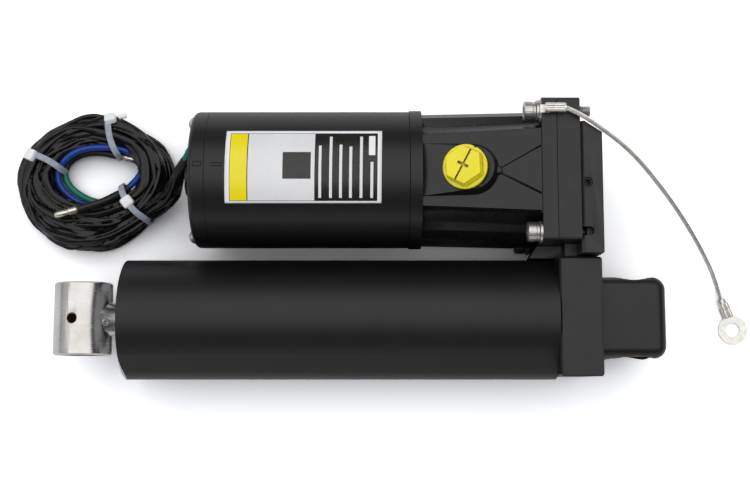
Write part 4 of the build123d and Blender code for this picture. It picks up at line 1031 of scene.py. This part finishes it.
def makeFloor():
    mesh = bpy.data.meshes.new("floor")
    half, low = ground["half"], ground["height"]
    mesh.from_pydata([(-half, -half, low), (half, -half, low), (half, half, low), (-half, half, low)],
                     [], [(0, 1, 2, 3)])
    paper = bpy.data.materials.new("paintedFloor")
    tree = emptyTree(paper)
    path = addNode(tree, "ShaderNodeLightPath").outputs
    inMirror = addNode(tree, "ShaderNodeMath", {
        0: path["Is Glossy Ray"], 1: path["Is Transmission Ray"]}, operation="MAXIMUM")
    # painted shade: an ambient-occlusion mask darkens the floor's glow and its colour in reflections where
    # the unit hems it in
    shade = addNode(tree, "ShaderNodeAmbientOcclusion", {"Distance": ground["gap"]}, samples=12)
    openness = addNode(tree, "ShaderNodeMapRange", {
        "Value": shade.outputs["AO"], "From Min": ground["gapRange"][0], "From Max": ground["gapRange"][1]})
    colours = {coat: hexColour(ground[coat]) for coat in ("bounce", "paint")}
    for coat in ("glow", "mirrored"):
        dark, pale = [hexColour(code) for code in ground[coat]]
        colours[coat] = addNode(tree, "ShaderNodeMix", {
            0: openness.outputs["Result"], 6: dark, 7: pale}, data_type="RGBA").outputs[2]
    coats = {coat: addNode(tree, "ShaderNodeBsdfDiffuse", {"Color": colour}).outputs["BSDF"]
             for coat, colour in colours.items()}
    bright = addNode(tree, "ShaderNodeAddShader", {0: coats["paint"], 1: coats["glow"]})
    spot = addNode(tree, "ShaderNodeTexCoord").outputs["Object"]
    away = addNode(tree, "ShaderNodeVectorMath", {0: spot}, operation="LENGTH").outputs["Value"]
    far = addNode(tree, "ShaderNodeMapRange", {
        "Value": away, "From Min": ground["fade"][0], "From Max": ground["fade"][1]},
        interpolation_type="SMOOTHSTEP").outputs["Result"]
    white = addNode(tree, "ShaderNodeEmission", {"Color": (1, 1, 1, 1), "Strength": 1.0})
    spread = addNode(tree, "ShaderNodeMixShader", {
        "Fac": far, 1: bright.outputs["Shader"], 2: white.outputs["Emission"]})
    looked = addNode(tree, "ShaderNodeMixShader", {
        "Fac": path["Is Camera Ray"], 1: coats["bounce"], 2: spread.outputs["Shader"]})
    mixed = addNode(tree, "ShaderNodeMixShader", {
        "Fac": inMirror.outputs["Value"], 1: looked.outputs["Shader"], 2: coats["mirrored"]})
    addNode(tree, "ShaderNodeOutputMaterial", {"Surface": mixed.outputs["Shader"]})
    mesh.materials.append(paper)
    linked("floor", mesh)


# Lamps: a soft box over the far side, and a low strip before the unit
lamps = {
    "softBox": {"place": (-0.14, 0.56, 1.25), "target": (-0.14, 0.56, 0.0), "size": (2.6, 1.8),
                "radiance": 1.2},
    "lowStrip": {"place": (-0.14, -1.5, 0.48), "target": (-0.14, 0.0, 0.0), "size": (3.0, 0.34),
                 "radiance": 1.0}}


def makeLamp(name, look):
    data = bpy.data.lights.new(name, "AREA")
    data.shape = "RECTANGLE"
    data.size, data.size_y = look["size"]
    data.energy = look["radiance"] * pi * look["size"][0] * look["size"][1]
    lamp = linked(name, data)
    lamp.location = look["place"]
    aim = Vector(look["target"]) - Vector(look["place"])
    lamp.rotation_euler = aim.to_track_quat("-Z", "Y").to_euler()


makeFloor()
for name, look in lamps.items():
    makeLamp(name, look)

# World: white where the lens looks past the floor, and a dim room for the rest. A pale wall stands
# beyond the rod end, and the eye and the end of the cylinder show it. The soft glow of the room reaches
# matt surfaces only, so gloss keeps its dark surround. A part fades along one axis of the direction
# looked in, between two places on it and from one strength to another.
room = {"white": ("Z", (0.02, 0.09), (1.0, 0.0)), "wall": ("X", (-0.75, -0.4), (0.62, 0.0)),
        "wallFoot": ("Z", (0.10, 0.24), (0.0, 1.0)), "glow": (0.075, 0.38), "glowColour": "#f4f6fa"}


def makeWorld():
    scene.world = bpy.data.worlds.new("room")
    tree = emptyTree(scene.world)
    path = addNode(tree, "ShaderNodeLightPath").outputs
    way = addNode(tree, "ShaderNodeTexCoord").outputs["Generated"]
    way = addNode(tree, "ShaderNodeSeparateXYZ", {"Vector": way}).outputs
    share = {}
    for part in ("white", "wall", "wallFoot"):
        axis, (start, end), (first, last) = room[part]
        share[part] = addNode(tree, "ShaderNodeMapRange", {
            "Value": way[axis], "From Min": start, "From Max": end, "To Min": first, "To Max": last},
            interpolation_type="SMOOTHSTEP").outputs["Result"]
    shine = addNode(tree, "ShaderNodeMath", {
        0: path["Is Glossy Ray"], 1: share["white"]}, operation="MULTIPLY")
    seen = path["Is Camera Ray"]
    for other in (shine.outputs["Value"], path["Is Transmission Ray"]):
        seen = addNode(tree, "ShaderNodeMath", {0: seen, 1: other}, operation="MAXIMUM").outputs["Value"]
    notGloss = addNode(tree, "ShaderNodeMath", {0: 1.0, 1: path["Is Glossy Ray"]}, operation="SUBTRACT")
    glow = addNode(tree, "ShaderNodeMapRange", {
        "Value": notGloss.outputs["Value"], "To Min": room["glow"][0], "To Max": room["glow"][1]})
    wall = addNode(tree, "ShaderNodeMath", {0: share["wall"], 1: share["wallFoot"]}, operation="MULTIPLY")
    fill = addNode(tree, "ShaderNodeMath", {0: glow.outputs["Result"], 1: wall.outputs["Value"]},
                   operation="MAXIMUM")
    dim = addNode(tree, "ShaderNodeBackground", {
        "Color": hexColour(room["glowColour"]), "Strength": fill.outputs["Value"]})
    white = addNode(tree, "ShaderNodeBackground", {"Color": (1, 1, 1, 1), "Strength": 1.0})
    mixed = addNode(tree, "ShaderNodeMixShader", {
        "Fac": seen, 1: dim.outputs["Background"], 2: white.outputs["Background"]})
    addNode(tree, "ShaderNodeOutputWorld", {"Surface": mixed.outputs["Shader"]})


makeWorld()
print("floor, lamps and room ready")
